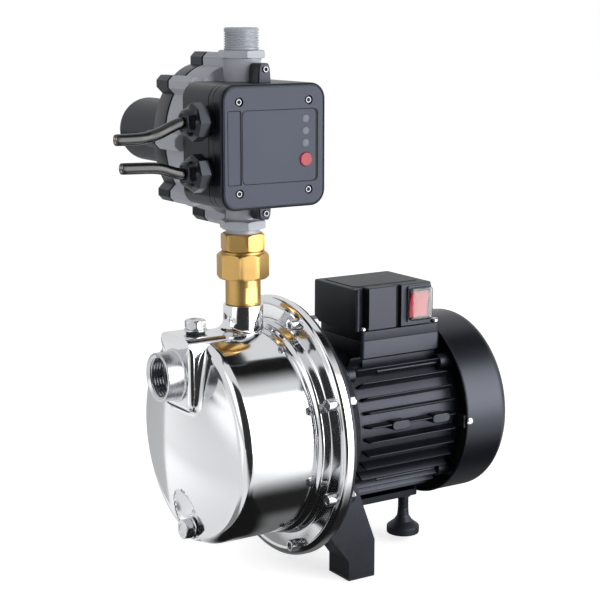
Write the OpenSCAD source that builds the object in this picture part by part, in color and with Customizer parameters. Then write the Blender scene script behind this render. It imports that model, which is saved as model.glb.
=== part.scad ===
// Booster pump: stainless jet pump with an electric motor and a pressure controller on its outlet.
// +X runs along the shaft from the suction port to the fan, -Y is the side the control panel faces and +Z
// is up. The origin is on the floor, midway between the two foot bolts.

/* [Stance] */
// Height of the shaft above the floor
shaft_h = 118; // [114:0.5:126]
// Distance from the foot bolts forward to the casing flange
flange_dx = 46; // [43:0.5:52]
// Length of each bracket foot along the shaft
foot_l = 24.5; // [20:0.5:28]
// Width of each bracket foot
foot_w = 28; // [24:0.5:34]
// Spacing of the two foot bolts
foot_pitch = 90; // [80:1:100]
// Diameter of each foot bolt hole
foot_hole_d = 9; // [6:0.5:11]
// Thickness of the foot under the bolt head
foot_t = 9; // [7:0.5:12]

/* [Pump casing] */
// Distance from the bolt circle out to the flange's edge
flange_lip = 8.5; // [8:0.1:12]
// Depth of the rim turned back over the bracket
rim_depth = 7.3; // [5:0.1:9]
// Thickness of the stainless sheet
sheet = 1.8; // [1.2:0.1:2.5]
// Diameter of the drum
drum_d = 164; // [158:1:166]
// Length of the drum from the flange to its front edge
drum_l = 73; // [70:0.5:90]
// Height of the domed front
dome_h = 8; // [4:0.5:12]
// Radius of the drum's front edge
edge_r = 8; // [5:0.5:10]
// Depth of the rolled bead near the flange
bead_depth = 1.6; // [0.5:0.1:2.5]
// Distance from the drum out to the bolt circle
bolt_off = 13; // [12.5:0.1:15]
// Number of flange bolts
bolt_count = 8; // [6:1:10]
// Thread diameter of the flange bolts
bolt_d = 6; // [5:0.5:6.5]

/* [Ports] */
// Height of the suction port above the shaft
suction_z = 52; // [48:0.5:54]
// Length of the suction socket
suction_l = 15; // [12:0.5:20]
// Outside diameter of the suction socket
suction_d = 37.5; // [36:0.1:40]
// Bore of the suction thread at its crests, G1
suction_bore = 30.3; // [28:0.1:31]
// Half width of the raised boss round the suction port
boss_hw = 23; // [21:0.5:25]
// Distance from the flange back to the riser
riser_dx = 26; // [22:0.5:30]
// Outside diameter of the riser tube
riser_d = 31; // [29.6:0.1:34]
// Height of the riser's top above the shaft
riser_top = 101; // [98:0.5:108]
// Distance from the riser forward to the priming plug
prime_dx = 42; // [40:0.5:44]
// Depth of the drain plug below the shaft
drain_z = 71; // [69:0.5:73]
// Size across flats of both plugs
plug_af = 15; // [13:0.5:17]
// Thread diameter of both plugs
plug_d = 10; // [8:0.5:11]

/* [Union] */
// Outside diameter of the G3/4 male threads
thread_d = 26.44; // [25.8:0.02:26.6]
// Bore of the water way through union and controller
water_d = 18; // [15:0.5:19]
// Size across flats of the union nut
nut_af = 37.5; // [37:0.5:40]
// Height of the union nut
nut_h = 19.5; // [18:0.5:21]
// Size across flats of the union head
head_af = 30.5; // [30:0.5:34]
// Height of the union head's hexagon
head_h = 14; // [12:0.5:18]

/* [Controller] */
// Width of the control box
ctrl_w = 89; // [88:0.5:98]
// Height of the control box
ctrl_h = 91; // [89:0.5:96]
// Corner radius of the control box
ctrl_r = 12; // [9:0.5:14]
// Height of the controller's centre above the shaft
ctrl_z = 225; // [223:0.5:229]
// Distance from the water way forward to the panel
panel_dy = 47; // [45:0.5:52]
// Depth of the front frame
frame_depth = 12; // [10:0.5:13]
// Distance that the box reaches behind the water way
skirt_dy = 11; // [9:0.5:15]
// Thickness of the panel plate
plate_t = 3; // [2.5:0.1:3.5]
// Height of the flow body behind the box
body_d = 94; // [92:0.5:98]
// Height of the diaphragm flange without its lugs
ring_d = 114; // [112:0.5:116]
// Width of the diaphragm flange without its lugs
ring_w = 80; // [78:0.5:92]
// Height over the flange lugs
lug_d = 132; // [128:0.5:136]
// Diameter of the spring dome
dome_d = 52; // [48:0.5:58]
// Distance from the water way back to the dome's end
dome_dy = 164; // [150:1:175]
// Diameter of the reset button
reset_d = 10.4; // [9:0.1:12]
// Travel of the reset button
reset_travel = 1.5; // [1:0.1:2]
// Diameter of the status lamps
lamp_d = 6.4; // [5:0.1:7]
// Lift of the check valve
valve_lift = 6; // [4:0.5:7]
// Diameter of each lead
lead_d = 8.4; // [8:0.1:8.8]
// Height of the gland pair above and below the controller's centre
gland_dz = 18.5; // [16.5:0.5:20]

/* [Motor] */
// Diameter over the cooling fins
fin_d = 136; // [134:1:140]
// Height of the cooling fins
fin_h = 8.5; // [7:0.1:9]
// Length of the motor housing
motor_l = 96; // [94:0.5:104]
// Thickness of each fin
fin_t = 2.4; // [1.8:0.1:3.2]
// Number of fins round a full circle
fin_count = 36; // [30:2:40]
// Diameter of the shaft at its bearings
shaft_d = 15; // [12:0.5:17]
// Distance from the fins out to the fan cover's rim
cowl_off = 7; // [6:0.5:10]
// Length of the fan cover
fan_cover_l = 44; // [42:0.5:50]
// Diameter of the fan
fan_d = 122; // [100:1:130]
// Diameter of the impeller
impeller_d = 108; // [96:1:116]

/* [Terminal box] */
// Length of the terminal box along the shaft
term_l = 73; // [72:0.5:78]
// Height of the terminal box cover
term_h = 34; // [33:0.5:40]
// Width of the rocker switch's frame
switch_w = 23; // [21:0.5:24]
// Height of the rocker switch's frame
switch_h = 29; // [27:0.5:31]
// Tilt of the rocker to each side
rocker_tilt = 8; // [5:0.5:9]

/* [Levelling foot] */
// Diameter of the levelling foot's pad
level_d = 27.5; // [22:0.5:32]
// Travel of the levelling screw
level_travel = 6; // [3:0.5:7]

/* [Hidden] */

slip = 0.3;
run = 0.05;
$fn = 96;

xf = -flange_dx;
xs = xf - riser_dx;
drum_r = drum_d / 2;
bolt_r = drum_r + bolt_off;
flange_r = bolt_r + flange_lip;
neck_r = drum_r + 2;
x_edge = xf - drum_l;
x_apex = x_edge - dome_h;
head_t = bolt_d + 1;
nut_t = bolt_d - 1;
bell_r = bolt_r - 9;
bell_wall = 7;
diffuser_r = drum_r - 7.5;
flare_r = 5.5;
bead_x = xf - flare_r - 2;
dome_rim = drum_r - edge_r;
dome_sr = (dome_rim * dome_rim + dome_h * dome_h) / (2 * dome_h);
boss_top = drum_r + 0.5;
boss_front = x_apex - 5;
boss_low = suction_z - suction_d / 2 - 7;
boss_round = 6;
x_suction = boss_front - suction_l;
x_prime = xs - prime_dx;
dish_y = 7;
dish_z = drain_z - 6;
dish_sr = 30;
dish_off = 22;
dish_face = x_apex + dish_z * dish_z / (2 * dome_sr);
dish_x = dish_face - dish_off;
pad_x = dish_x + dish_sr - 5.2;
gasket_t = 1.5;
x_plate = xf + sheet + gasket_t;
plate_th = 8;
x_bell = x_plate + plate_th;
spot = 0.6;
x_nut = x_bell - spot;
x_motor = x_bell + 27;
x_end = x_motor + motor_l;
fin_r = fin_d / 2;
tube_r = fin_r - fin_h;
tube_wall = 4;
tie_lug_r = 6.5;
tube_in = tube_r - tube_wall;
slot_depth = 25.5;
shaft_r = shaft_d / 2;
bear_or = shaft_r + 10;
bear_w = 11;
x_bear1 = x_motor - 14;
x_bear2 = x_end + 1;
seal_bore = shaft_r - 1.5;
x_seal = x_plate - 12;
imp_w = 11;
x_imp = x_seal - imp_w;
core_x0 = x_motor + 20;
core_l = motor_l - 42;
rotor_r = tube_in - slot_depth;
coil_r = slot_depth / 4;
coil_at = rotor_r + slot_depth / 2;
air_gap = 0.5;
shield_t = 6;
x_shield = x_end + shield_t;
cover_wall = 1.5;
x_cover = x_end + 2;
x_cover_end = x_cover + fan_cover_l;
x_fan = x_bear2 + bear_w + 5;
fan_w = 12;
fan_cover_r = fin_r + cowl_off;

term_x0 = x_motor + 13;
term_y0 = -41;
term_y1 = 19;
term_w = term_y1 - term_y0;
term_cx = term_x0 + term_l / 2;
base_x0 = term_x0 + 5;
base_x1 = x_end - 0.4;
base_cx = (base_x0 + base_x1) / 2;
base_l = base_x1 - base_x0;
term_cy = (term_y0 + term_y1) / 2;
term_base_z = shaft_h + fin_r + 8;
term_cover_z = term_base_z + 0.5;
term_top = term_cover_z + term_h;
term_wall = 2.6;
cap_l = term_l - 45;
switch_cx = term_x0 + term_l - switch_w / 2 - 1.5;
switch_cz = term_cover_z + term_h / 2 + 0.3;
switch_y = term_y0 - 1.8;
pivot_y = term_y0 + 5.2;
rocker_w = switch_w - 5;
rocker_h = switch_h - 7;

level_x = x_end - 1;
rail_hw = 13;
rail_z = shaft_h - fin_r - 9;
level_gap = 1;
level_lift = level_travel - 0.5;

z_riser = shaft_h + riser_top;
collar_sweep = 5;
collar_foot = drum_r - 20;
thread_r = thread_d / 2;
water_r = water_d / 2;
riser_bore = thread_r + run;
tail_r = thread_r + 0.4;
nut_z0 = z_riser + 20.3;
nut_z1 = nut_z0 + nut_h;
collar_z0 = nut_z0 + 4;
collar_t = 4.5;
seal_t = 2;
union_thread_r = 16.6;
head_z0 = nut_z1 + 1.4;
head_z1 = head_z0 + head_h;
low_hex_z0 = head_z1 + 3;
hex_h = 7;
body_hex_af = 31.5;
neck_d = 25;
cz = shaft_h + ctrl_z;
seat_z = cz - 32;
poppet_h = 18;
box_z0 = cz - ctrl_h / 2;
box_z1 = cz + ctrl_h / 2;
top_hex_z0 = box_z1 + 17;
top_hex_h = 6;
nipple_z0 = top_hex_z0 + top_hex_h;
nipple_h = 16.6;
z_top = nipple_z0 + nipple_h;

panel_y = -panel_dy;
seam_y = panel_y + frame_depth;
skirt_y = skirt_dy;
box_floor_y = -19;
box_wall = 3;
core_hw = ctrl_w / 2 - box_wall - slip;
core_hh = ctrl_h / 2 - box_wall - slip;
flange_y0 = 16;
flange_y1 = 48;
diaphragm_t = 1.5;
ring_y0 = flange_y1 + diaphragm_t;
ring_y1 = ring_y0 + 19;
ring_rx = ring_w / 2;
ring_rz = ring_d / 2;
lug_hw = 6.5;
lug_out = (lug_d - ring_d) / 2 - lug_hw;
body_in = (ring_d - body_d) / 2;
chamber_r = ring_rx - 14;
rib_top = top_hex_z0 - cz - 1;
dome_r = dome_d / 2;
plate_w = ctrl_w - 4;
plate_h = ctrl_h - 4;
screw_dx = 29.6;
screw_dz = 33;
lamp_dx = 27;
lamp_dz = [19.4, 10.5, 1.5];
reset_dz = -10.6;
window_w = 65;
window_h = 54;
window_dx = 5.2;
strip_w = 11.6;
strip_dx = -33.6;
gland_y = -26;
gland_x = xs - ctrl_w / 2;
gland_af = 26;
gland_collar_t = 3;
gland_nut_l = 12;
gland_nose_l = 5;
x_nose = gland_x - gland_collar_t - gland_nut_l - gland_nose_l;
ear_x = 0.5;
ear_w = 13;
ear_y0 = -28;
ear_y1 = -14;
ear_h = 14;

lead_r = lead_d / 2;
lead_upper_path = [[0, 0, 0], [-5, 0, -1.2], [-11, 0, -3.6], [-16, -0.5, -5.6], [-21, -1, -7.3],
    [-27, -1, -8.8], [-34, -2, -9.7], [-44, -2, -10], [-54, -2, -9.9]];
lead_lower_path = [[0, 0, 0], [-5, 0, 0.9], [-11, 0, 2.7], [-16, -0.5, 4.4], [-21, -1, 5.5], [-28, -1, 6.1],
    [-35, -1, 6.3], [-42, -1, 6.5], [-49.5, -1, 6.7]];

// Placing and turning helpers
module at_shaft() { translate([0, 0, shaft_h]) children(); }

module xcyl(x0, x1, r, f = 96) {
    translate([x0, 0, 0]) rotate([0, 90, 0]) cylinder(h = x1 - x0, r = r, $fn = f);
}

module ycyl(y0, y1, r, f = 96) {
    translate([0, y0, 0]) rotate([-90, 0, 0]) cylinder(h = y1 - y0, r = r, $fn = f);
}

module xtube(x0, x1, ro, ri) {
    difference() {
        xcyl(x0, x1, ro);
        xcyl(x0 - 1, x1 + 1, ri);
    }
}

module xrev(pts) { rotate([0, 90, 0]) rotate_extrude($fn = 120) polygon([for (p = pts) [p[1], p[0]]]); }

module zrev(pts) { rotate_extrude($fn = 96) polygon(pts); }

module zhex(z0, z1, af, sides = 6, turn = 0) {
    translate([0, 0, z0]) rotate([0, 0, turn])
        cylinder(h = z1 - z0, r = af / 2 / cos(180 / sides), $fn = sides);
}

module xhex(x0, x1, af, sides = 6, turn = 0) { rotate([0, 90, 0]) zhex(x0, x1, af, sides, turn); }

module rsq(w, h, r) {
    square([w - 2 * r, h], center = true);
    square([w, h - 2 * r], center = true);
    for (i = [-1, 1]) for (j = [-1, 1])
        translate([i * (w / 2 - r), j * (h / 2 - r)]) circle(r = r, $fn = 48);
}

// A rounded slab standing in the X-Z plane between two Y values
module yslab(w, h, r, y0, y1) {
    translate([0, y1, 0]) rotate([90, 0, 0]) linear_extrude(y1 - y0) rsq(w, h, r);
}

module zslab(w, d, r, z0, z1) { translate([0, 0, z0]) linear_extrude(z1 - z0) rsq(w, d, r); }

module around(n, start = 0) { for (i = [0:n - 1]) rotate([start + i * 360 / n, 0, 0]) children(); }

module at_bolts() { around(bolt_count, 180 / bolt_count) translate([0, 0, bolt_r]) children(); }

module at_shield_screws() { around(4, 45) translate([0, 0, tube_r + 3]) children(); }

module at_cover_screws() {
    for (x = [base_x0 + 4.6, term_x0 + term_l - 4.6]) for (sy = [-1, 1])
        translate([x, term_cy + sy * (term_w / 2 - 4.6), 0]) children();
}

module at_controller() { translate([xs, 0, cz]) children(); }

// The lug screws stand on an oval, each lug facing outward at its own eighth of a turn
module at_lugs() {
    for (i = [0:7]) let (a = i * 45)
        translate([(ring_rx + lug_out) * cos(a), 0, (ring_rz + lug_out) * sin(a)]) rotate([0, -a, 0])
            children();
}

module at_panel_screws() {
    for (sx = [-1, 1]) for (sz = [-1, 1]) translate([sx * screw_dx, 0, sz * screw_dz]) children();
}

module at_ear_screws() {
    for (z = [ctrl_h / 2 + 9, -ctrl_h / 2 - 6]) translate([ear_x + 2, 0, z]) children();
}

module at_glands() { for (s = [-1, 1]) translate([0, gland_y, s * gland_dz]) children(); }

function arc(cx, cy, r, a0, a1, n) = [for (i = [0:n]) let (a = a0 + (a1 - a0) * i / n)
    [cx + r * cos(a), cy + r * sin(a)]];

function flip(v) = [for (i = [len(v) - 1:-1:0]) v[i]];

// Front dome, rolled edge, drum, bead, neck and flange of the casing, outside and inside
function dome_arc(off) = [for (i = [0:10]) let (a = asin(dome_rim / dome_sr) * i / 10)
    [x_apex + dome_sr - (dome_sr - off) * cos(a), (dome_sr - off) * sin(a)]];

function casing_outer() = concat(dome_arc(0), arc(x_edge + edge_r, dome_rim, edge_r, 180, 90, 8),
    [[bead_x - 2.5, drum_r], [bead_x, drum_r - bead_depth]],
    arc(xf - flare_r, neck_r + flare_r, flare_r, 270, 360, 6),
    arc(xf + 2.5, flange_r - 2.5, 2.5, 180, 90, 5), [[xf + rim_depth, flange_r]]);

function casing_inner() = concat(dome_arc(sheet), arc(x_edge + edge_r, dome_rim, edge_r - sheet, 180, 90, 8),
    [[bead_x - 2.5, drum_r - sheet], [bead_x, drum_r - bead_depth - sheet]],
    arc(xf - flare_r, neck_r + flare_r, flare_r + sheet, 270, 360, 6),
    [[xf + sheet, flange_r - sheet], [xf + rim_depth, flange_r - sheet]]);

// Raised boss round the suction port, its front edge rounded off in three steps
module boss_block(off) {
    w = 2 * (boss_hw - off);
    h = boss_top - boss_low - 2 * off;
    translate([0, 0, (boss_top + boss_low) / 2]) rotate([90, 0, 90]) {
        translate([0, 0, boss_front + off]) linear_extrude(2) rsq(w - 7, h - 7, boss_round - off);
        translate([0, 0, boss_front + 1 + off]) linear_extrude(2) rsq(w - 3.4, h - 3.4, boss_round - off);
        translate([0, 0, boss_front + 2.4 + off]) linear_extrude(x_edge + 20 - boss_front)
            rsq(w, h, boss_round - off);
    }
}

module casing_cavity() {
    xrev(concat(casing_inner(), [[xf + rim_depth + 1, flange_r - sheet], [xf + rim_depth + 1, 0]]));
    boss_block(sheet);
}

module pump_casing() {
    color([0.82, 0.83, 0.85]) at_shaft() difference() {
        union() {
            difference() {
                union() {
                    xrev(concat(casing_outer(), [[xf + rim_depth, 0]]));
                    boss_block(0);
                }
                difference() {
                    casing_cavity();
                    translate([dish_x, dish_y, -dish_z]) sphere(r = dish_sr + sheet);
                }
                translate([dish_x, dish_y, -dish_z]) sphere(r = dish_sr);
            }
            translate([0, 0, -drain_z]) xcyl(pad_x, pad_x + 6, plug_d / 2 + 5);
        }
        translate([0, 0, suction_z])
            xcyl(boss_front - 5, boss_front + boss_round + 3, suction_bore / 2 + 0.6);
        translate([xs, 0, 0]) cylinder(h = drum_r + 30, r = riser_bore);
        translate([x_prime, 0, 0]) cylinder(h = drum_r + 30, r = plug_d / 2 + run);
        translate([0, 0, -drain_z]) xcyl(pad_x - 10, pad_x + 20, plug_d / 2 + run);
        at_bolts() xcyl(xf - 10, xf + 10, bolt_d / 2 + 0.4, 32);
    }
}

module suction_socket() {
    color([0.78, 0.79, 0.81]) at_shaft() translate([0, 0, suction_z]) difference() {
        union() {
            xcyl(x_suction, boss_front, suction_d / 2);
            xrev([[boss_front - 3, 0], [boss_front - 3, suction_d / 2], [boss_front - 1, suction_d / 2 + 1.2],
                [boss_front, suction_d / 2 + 1.6], [boss_front, 0]]);
        }
        xcyl(x_suction - 1, boss_front + 1, suction_bore / 2);
        xrev([[x_suction - 0.1, 0], [x_suction - 0.1, suction_bore / 2 + 1.8],
            [x_suction + 1.6, suction_bore / 2], [x_suction + 1.6, 0]]);
    }
}

module discharge_riser() {
    color([0.8, 0.81, 0.83]) translate([xs, 0, shaft_h]) difference() {
        union() {
            cylinder(h = riser_top, r = riser_d / 2);
            zrev(concat([[0, collar_foot], [riser_d / 2 + 2.4, collar_foot]],
                arc(riser_d / 2 + collar_sweep, drum_r + collar_sweep, collar_sweep, 248, 180, 8),
                [[0, drum_r + collar_sweep]]));
        }
        translate([-xs, 0, 0]) xcyl(xs - 40, xs + 40, drum_r);
        translate([0, 0, -1]) cylinder(h = riser_top + 2, r = riser_bore);
    }
}

module priming_plug() {
    color([0.75, 0.76, 0.78]) translate([x_prime, 0, shaft_h + boss_top + 2]) {
        cylinder(h = 1.4, r = plug_af / 2 + 1.5);
        zhex(1.4, 8.5, plug_af, 6, 12);
        translate([0, 0, -9]) cylinder(h = 9, r = plug_d / 2);
    }
}

module priming_seal() {
    color([0.1, 0.1, 0.1]) translate([x_prime, 0, shaft_h + boss_top]) difference() {
        cylinder(h = 2, r = plug_af / 2);
        translate([0, 0, -1]) cylinder(h = 4, r = plug_d / 2);
    }
}

module drain_plug() {
    color([0.75, 0.76, 0.78]) at_shaft() translate([0, 0, -drain_z]) {
        xcyl(pad_x - 3, pad_x - 1.6, plug_af / 2 + 1.5);
        xhex(pad_x - 10, pad_x - 3, plug_af, 6, 10);
        xcyl(pad_x - 1.6, pad_x + 8, plug_d / 2);
    }
}

module drain_seal() {
    color([0.1, 0.1, 0.1]) at_shaft() translate([0, 0, -drain_z])
        xtube(pad_x - 1.6, pad_x, plug_af / 2, plug_d / 2);
}

module casing_gasket() {
    color([0.08, 0.08, 0.08]) at_shaft() xtube(xf + sheet, x_plate, bolt_r - bolt_d / 2 - 2, neck_r + 1);
}

module flange_bolts() {
    color([0.7, 0.71, 0.73]) at_shaft() at_bolts() difference() {
        union() {
            xcyl(xf - head_t, xf, bolt_d * 0.8, 32);
            xcyl(xf, x_nut + nut_t + 3, bolt_d / 2, 32);
        }
        xhex(xf - head_t - 1, xf - head_t / 2, bolt_d * 0.8);
    }
}

module flange_nuts() {
    color([0.7, 0.71, 0.73]) at_shaft() at_bolts() difference() {
        union() {
            xcyl(x_nut, x_nut + 1, bolt_d, 32);
            xhex(x_nut + 1, x_nut + 1 + nut_t, bolt_d * 1.6);
        }
        xcyl(x_nut - 1, x_nut + nut_t + 3, bolt_d / 2, 32);
    }
}

// One bracket leg, seen from the side: flat foot, gusset up to the bell and rib to the plate
module bracket_leg() {
    leg_top = shaft_h - 52;
    translate([0, foot_w / 2, 0]) rotate([90, 0, 0]) linear_extrude(foot_w)
        polygon([[-foot_l / 2, 0], [foot_l / 2, 0], [foot_l / 2, 30], [x_motor + 2, leg_top + 12],
            [x_bell - 2, leg_top + 12], [x_bell - 2, 48], [-foot_l / 2, 16]]);
}

module bracket() {
    color([0.16, 0.16, 0.18]) difference() {
        union() {
            at_shaft() {
                xcyl(x_plate, x_bell, flange_r - sheet - 0.4);
                xrev([[x_bell, 0], [x_bell, bell_r], [x_bell + 9, bell_r], [x_motor, fin_r - 0.5],
                    [x_motor, 0]]);
                at_shield_screws() xcyl(x_motor - 6, x_motor, tie_lug_r, 40);
            }
            for (s = [-1, 1]) translate([0, s * foot_pitch / 2, 0]) bracket_leg();
        }
        at_shaft() {
            xrev([[x_bell + 5, bear_or + 8], [x_bell + 5, bell_r - bell_wall],
                [x_bell + 10, bell_r - bell_wall], [x_motor - 5, tube_r + 2], [x_motor - 5, bear_or + 8]]);
            xcyl(x_bear1, x_motor + 1, bear_or);
            xcyl(x_plate - 1, x_motor, shaft_r + 2);
            xcyl(x_plate - 1, x_plate + 5, 14);
            xcyl(x_motor - 5.01, x_motor + 1, tube_r - 1);
            xcyl(x_motor, x_motor + 40, max(fin_r, tube_r + 9.5) + slip);
            at_bolts() xcyl(x_plate - 1, x_bell + 1, bolt_d / 2 + 0.2, 32);
            at_bolts() xcyl(x_nut, x_nut + 16, bolt_d * 1.15, 32);
        }
        for (s = [-1, 1]) translate([0, s * foot_pitch / 2, 0]) {
            translate([0, 0, -1]) cylinder(h = foot_t + 2, r = foot_hole_d / 2);
            translate([-foot_l / 2 + 4, -foot_w / 2 + 4.5, foot_t]) cube([foot_l + 10, foot_w - 9, 38]);
        }
    }
}

module seal_seat() {
    color([0.9, 0.88, 0.83]) at_shaft() xtube(x_plate - 2, x_plate + 5, 14, shaft_r + 1);
}

module seal_head() {
    color([0.25, 0.25, 0.27]) at_shaft() {
        xtube(x_plate - 5 + slip, x_plate - 2 - slip / 3, 12.5, seal_bore);
        xtube(x_seal, x_plate - 5 + slip, 10.5, seal_bore);
    }
}

// Backward-curved vane, as a slice of a ring
module vane(r_out, w) {
    intersection() {
        translate([0, 24, 0]) difference() {
            cylinder(h = w, r = r_out * 0.62);
            translate([0, 0, -1]) cylinder(h = w + 2, r = r_out * 0.62 - 2.4);
        }
        difference() {
            cylinder(h = w, r = r_out);
            translate([0, 0, -1]) cylinder(h = w + 2, r = 20);
        }
        translate([0, -r_out * 2, -1]) cube([r_out, r_out * 2 + 14, w + 2]);
    }
}

module impeller() {
    color([0.68, 0.5, 0.22]) at_shaft() difference() {
        union() {
            xcyl(x_seal - 2.2, x_seal, impeller_d / 2);
            xtube(x_imp, x_imp + 2, impeller_d / 2, 19);
            xtube(x_imp - 4, x_imp, 22, 19);
            xcyl(x_imp + 1, x_seal, 13);
            translate([x_imp + 1.9, 0, 0]) rotate([0, 90, 0])
                for (i = [0:5]) rotate([0, 0, i * 60]) vane(impeller_d / 2, imp_w - 4);
        }
        xcyl(x_imp - 6, x_seal + 1, seal_bore);
    }
}

module impeller_nut() {
    color([0.7, 0.71, 0.73]) at_shaft() difference() {
        xhex(x_imp - 5, x_imp + 1, 18);
        xcyl(x_imp - 6, x_imp + 2, seal_bore - 1);
    }
}

module diffuser() {
    color([0.2, 0.2, 0.22]) at_shaft() difference() {
        xrev([[x_imp - 14, 16], [x_imp - 7, 30], [x_imp - 7, diffuser_r - 5.5],
            [x_seal + 2, diffuser_r - 5.5], [x_seal + 2, diffuser_r], [x_plate, diffuser_r],
            [x_plate, diffuser_r - 3.5], [x_seal + 4, diffuser_r - 3.5], [x_seal + 4, impeller_d / 2 + 6],
            [x_imp - 4.6, impeller_d / 2 + 6], [x_imp - 4.6, 23], [x_imp - 14, 23 - 9]]);
        around(8) translate([x_seal + 3, 0, 62]) cube([20, 6, 40], center = true);
    }
}

module ejector() {
    color([0.24, 0.24, 0.26]) at_shaft() xrev([[x_edge + 14, 9], [x_edge + 14, 17], [x_edge + 18, 17],
        [x_imp - 19, 18.5], [x_imp - 14, 18.5], [x_imp - 14, 14], [x_imp - 24, 8], [x_edge + 24, 6],
        [x_edge + 18, 9]]);
}

module nozzle() {
    color([0.8, 0.6, 0.25]) at_shaft() xrev([[x_apex + 8, 4], [x_apex + 8, 11], [x_edge + 13, 11],
        [x_edge + 14, 8.7], [x_edge + 17, 8.7], [x_edge + 17, 3.4]]);
}

module shaft() {
    color([0.7, 0.7, 0.72]) at_shaft() union() {
        xcyl(x_imp - 8, x_imp + 1, seal_bore - 1 - run / 2);
        xcyl(x_imp + 1, x_bear1 - 6, seal_bore);
        xcyl(x_bear1 - 6, x_bear2 + bear_w + 1, shaft_r);
        xcyl(x_bear2 + bear_w + 1, x_fan + fan_w, shaft_r - 1.5);
    }
}

module rotor() {
    color([0.5, 0.5, 0.52]) at_shaft() difference() {
        union() {
            xcyl(core_x0, core_x0 + core_l, rotor_r);
            xtube(core_x0 - 5, core_x0, rotor_r - 1, rotor_r - 9);
            xtube(core_x0 + core_l, core_x0 + core_l + 5, rotor_r - 1, rotor_r - 9);
        }
        xcyl(core_x0 - 6, core_x0 + core_l + 6, shaft_r);
    }
}

module stator() {
    color([0.45, 0.45, 0.48]) at_shaft() xtube(core_x0, core_x0 + core_l, tube_in, rotor_r + air_gap);
}

module windings() {
    color([0.72, 0.42, 0.2]) at_shaft() {
        for (x = [core_x0 - coil_r - 0.1, core_x0 + core_l + coil_r + 0.1])
            xrev(arc(x, coil_at, coil_r, 0, 345, 23));
    }
}

module bearing(x0) {
    color([0.72, 0.72, 0.74]) at_shaft() difference() {
        xcyl(x0, x0 + bear_w, bear_or);
        xcyl(x0 - 1, x0 + bear_w + 1, shaft_r + run);
        xtube(x0 - 0.01, x0 + 1, bear_or - 3, shaft_r + 3);
        xtube(x0 + bear_w - 1, x0 + bear_w + 0.01, bear_or - 3, shaft_r + 3);
    }
}

module bearing_front() { bearing(x_bear1); }

module bearing_rear() { bearing(x_bear2); }

// One cooling fin, thinner at its tip
module fin() {
    tip_t = fin_t * 0.6;
    translate([x_motor + 3, 0, 0]) rotate([90, 0, 90]) linear_extrude(motor_l - 6)
        polygon([[-fin_t / 2, tube_r - 2], [fin_t / 2, tube_r - 2], [fin_t / 2, tube_r + 1], [tip_t / 2, fin_r],
            [-tip_t / 2, fin_r], [-fin_t / 2, tube_r + 1]]);
}

// Cast housing: tube, cooling fins, pads, terminal box base on top and foot rail below
module motor_housing() {
    color([0.1, 0.1, 0.11]) difference() {
        union() {
            at_shaft() {
                xcyl(x_motor, x_end, tube_r);
                for (i = [0:fin_count - 1]) let (a = (i + 0.5) * 360 / fin_count) if (a > 34 && a < 326)
                    rotate([-a, 0, 0]) fin();
                for (x = [x_motor + 0.01, x_end - 7]) at_shield_screws() xcyl(x, x + 6.98, tie_lug_r, 40);
                for (x = [x_motor + 42, x_motor + 81]) rotate([87, 0, 0]) translate([x, 0, tube_r - 1]) {
                    translate([-5, 0, 0]) cylinder(h = fin_r - tube_r + 2, r = 3.6, $fn = 40);
                    translate([5, 0, 0]) cylinder(h = fin_r - tube_r + 2, r = 3.6, $fn = 40);
                    translate([-5, -3.6, 0]) cube([10, 7.2, fin_r - tube_r + 2]);
                }
            }
            translate([base_cx, term_cy, 0]) zslab(base_l, term_w, 4, shaft_h + 30, term_base_z);
            translate([x_motor + 2, -rail_hw, rail_z + 5]) cube([motor_l - 4, 2 * rail_hw, 24]);
            translate([x_end - 42, -rail_hw, rail_z]) cube([42, 2 * rail_hw, 12]);
        }
        at_shaft() {
            xcyl(x_motor - 1, x_end + 1, tube_in);
            at_shield_screws() xcyl(x_motor - 1, x_end + 1, 2.4, 32);
        }
        translate([base_cx, term_cy, 0])
            zslab(base_l - 8, term_w - 8, 3, shaft_h + tube_r + 3, term_base_z + 1);
        translate([level_x - 4, 0, rail_z - 1]) cylinder(h = 17, r = 4 + run);
        at_cover_screws() translate([0, 0, term_base_z - 9]) cylinder(h = 10, r = 1.8, $fn = 24);
    }
}

module end_shield() {
    color([0.12, 0.12, 0.13]) at_shaft() difference() {
        union() {
            xcyl(x_end, x_shield, tube_r + 0.5);
            xcyl(x_end - 3, x_end, tube_in - run);
            xcyl(x_shield, x_bear2 + bear_w + 2, bear_or + 5);
            at_shield_screws() xcyl(x_end, x_shield, tie_lug_r, 40);
            around(4, 0) translate([x_end, -5, tube_r - 3])
                cube([shield_t, 10, fan_cover_r - cover_wall - tube_r + 3 - slip]);
        }
        xcyl(x_end - 4, x_bear2, tube_in - 5);
        xcyl(x_bear2 - 0.5, x_bear2 + bear_w, bear_or);
        xcyl(x_end - 5, x_shield + 20, shaft_r + 1);
        at_shield_screws() xcyl(x_end - 1, x_shield + 1, 2.6, 32);
        around(4, 0) translate([x_cover + 2.5, 0, tube_r + 3]) cylinder(h = 30, r = 1.6, $fn = 24);
    }
}

module shield_screws() {
    color([0.7, 0.71, 0.73]) at_shaft() at_shield_screws() {
        xcyl(x_motor + 30, x_shield, 2.2, 32);
        xhex(x_shield, x_shield + 3.5, 7.5);
    }
}

module fan() {
    color([0.1, 0.1, 0.11]) at_shaft() difference() {
        union() {
            xcyl(x_fan, x_fan + fan_w, 15);
            xcyl(x_fan, x_fan + 2, fan_d / 2);
            around(8) translate([x_fan, -1.1, 12]) cube([fan_w, 2.2, fan_d / 2 - 12]);
        }
        xcyl(x_fan - 1, x_fan + fan_w + 1, shaft_r - 1.5);
    }
}

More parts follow.
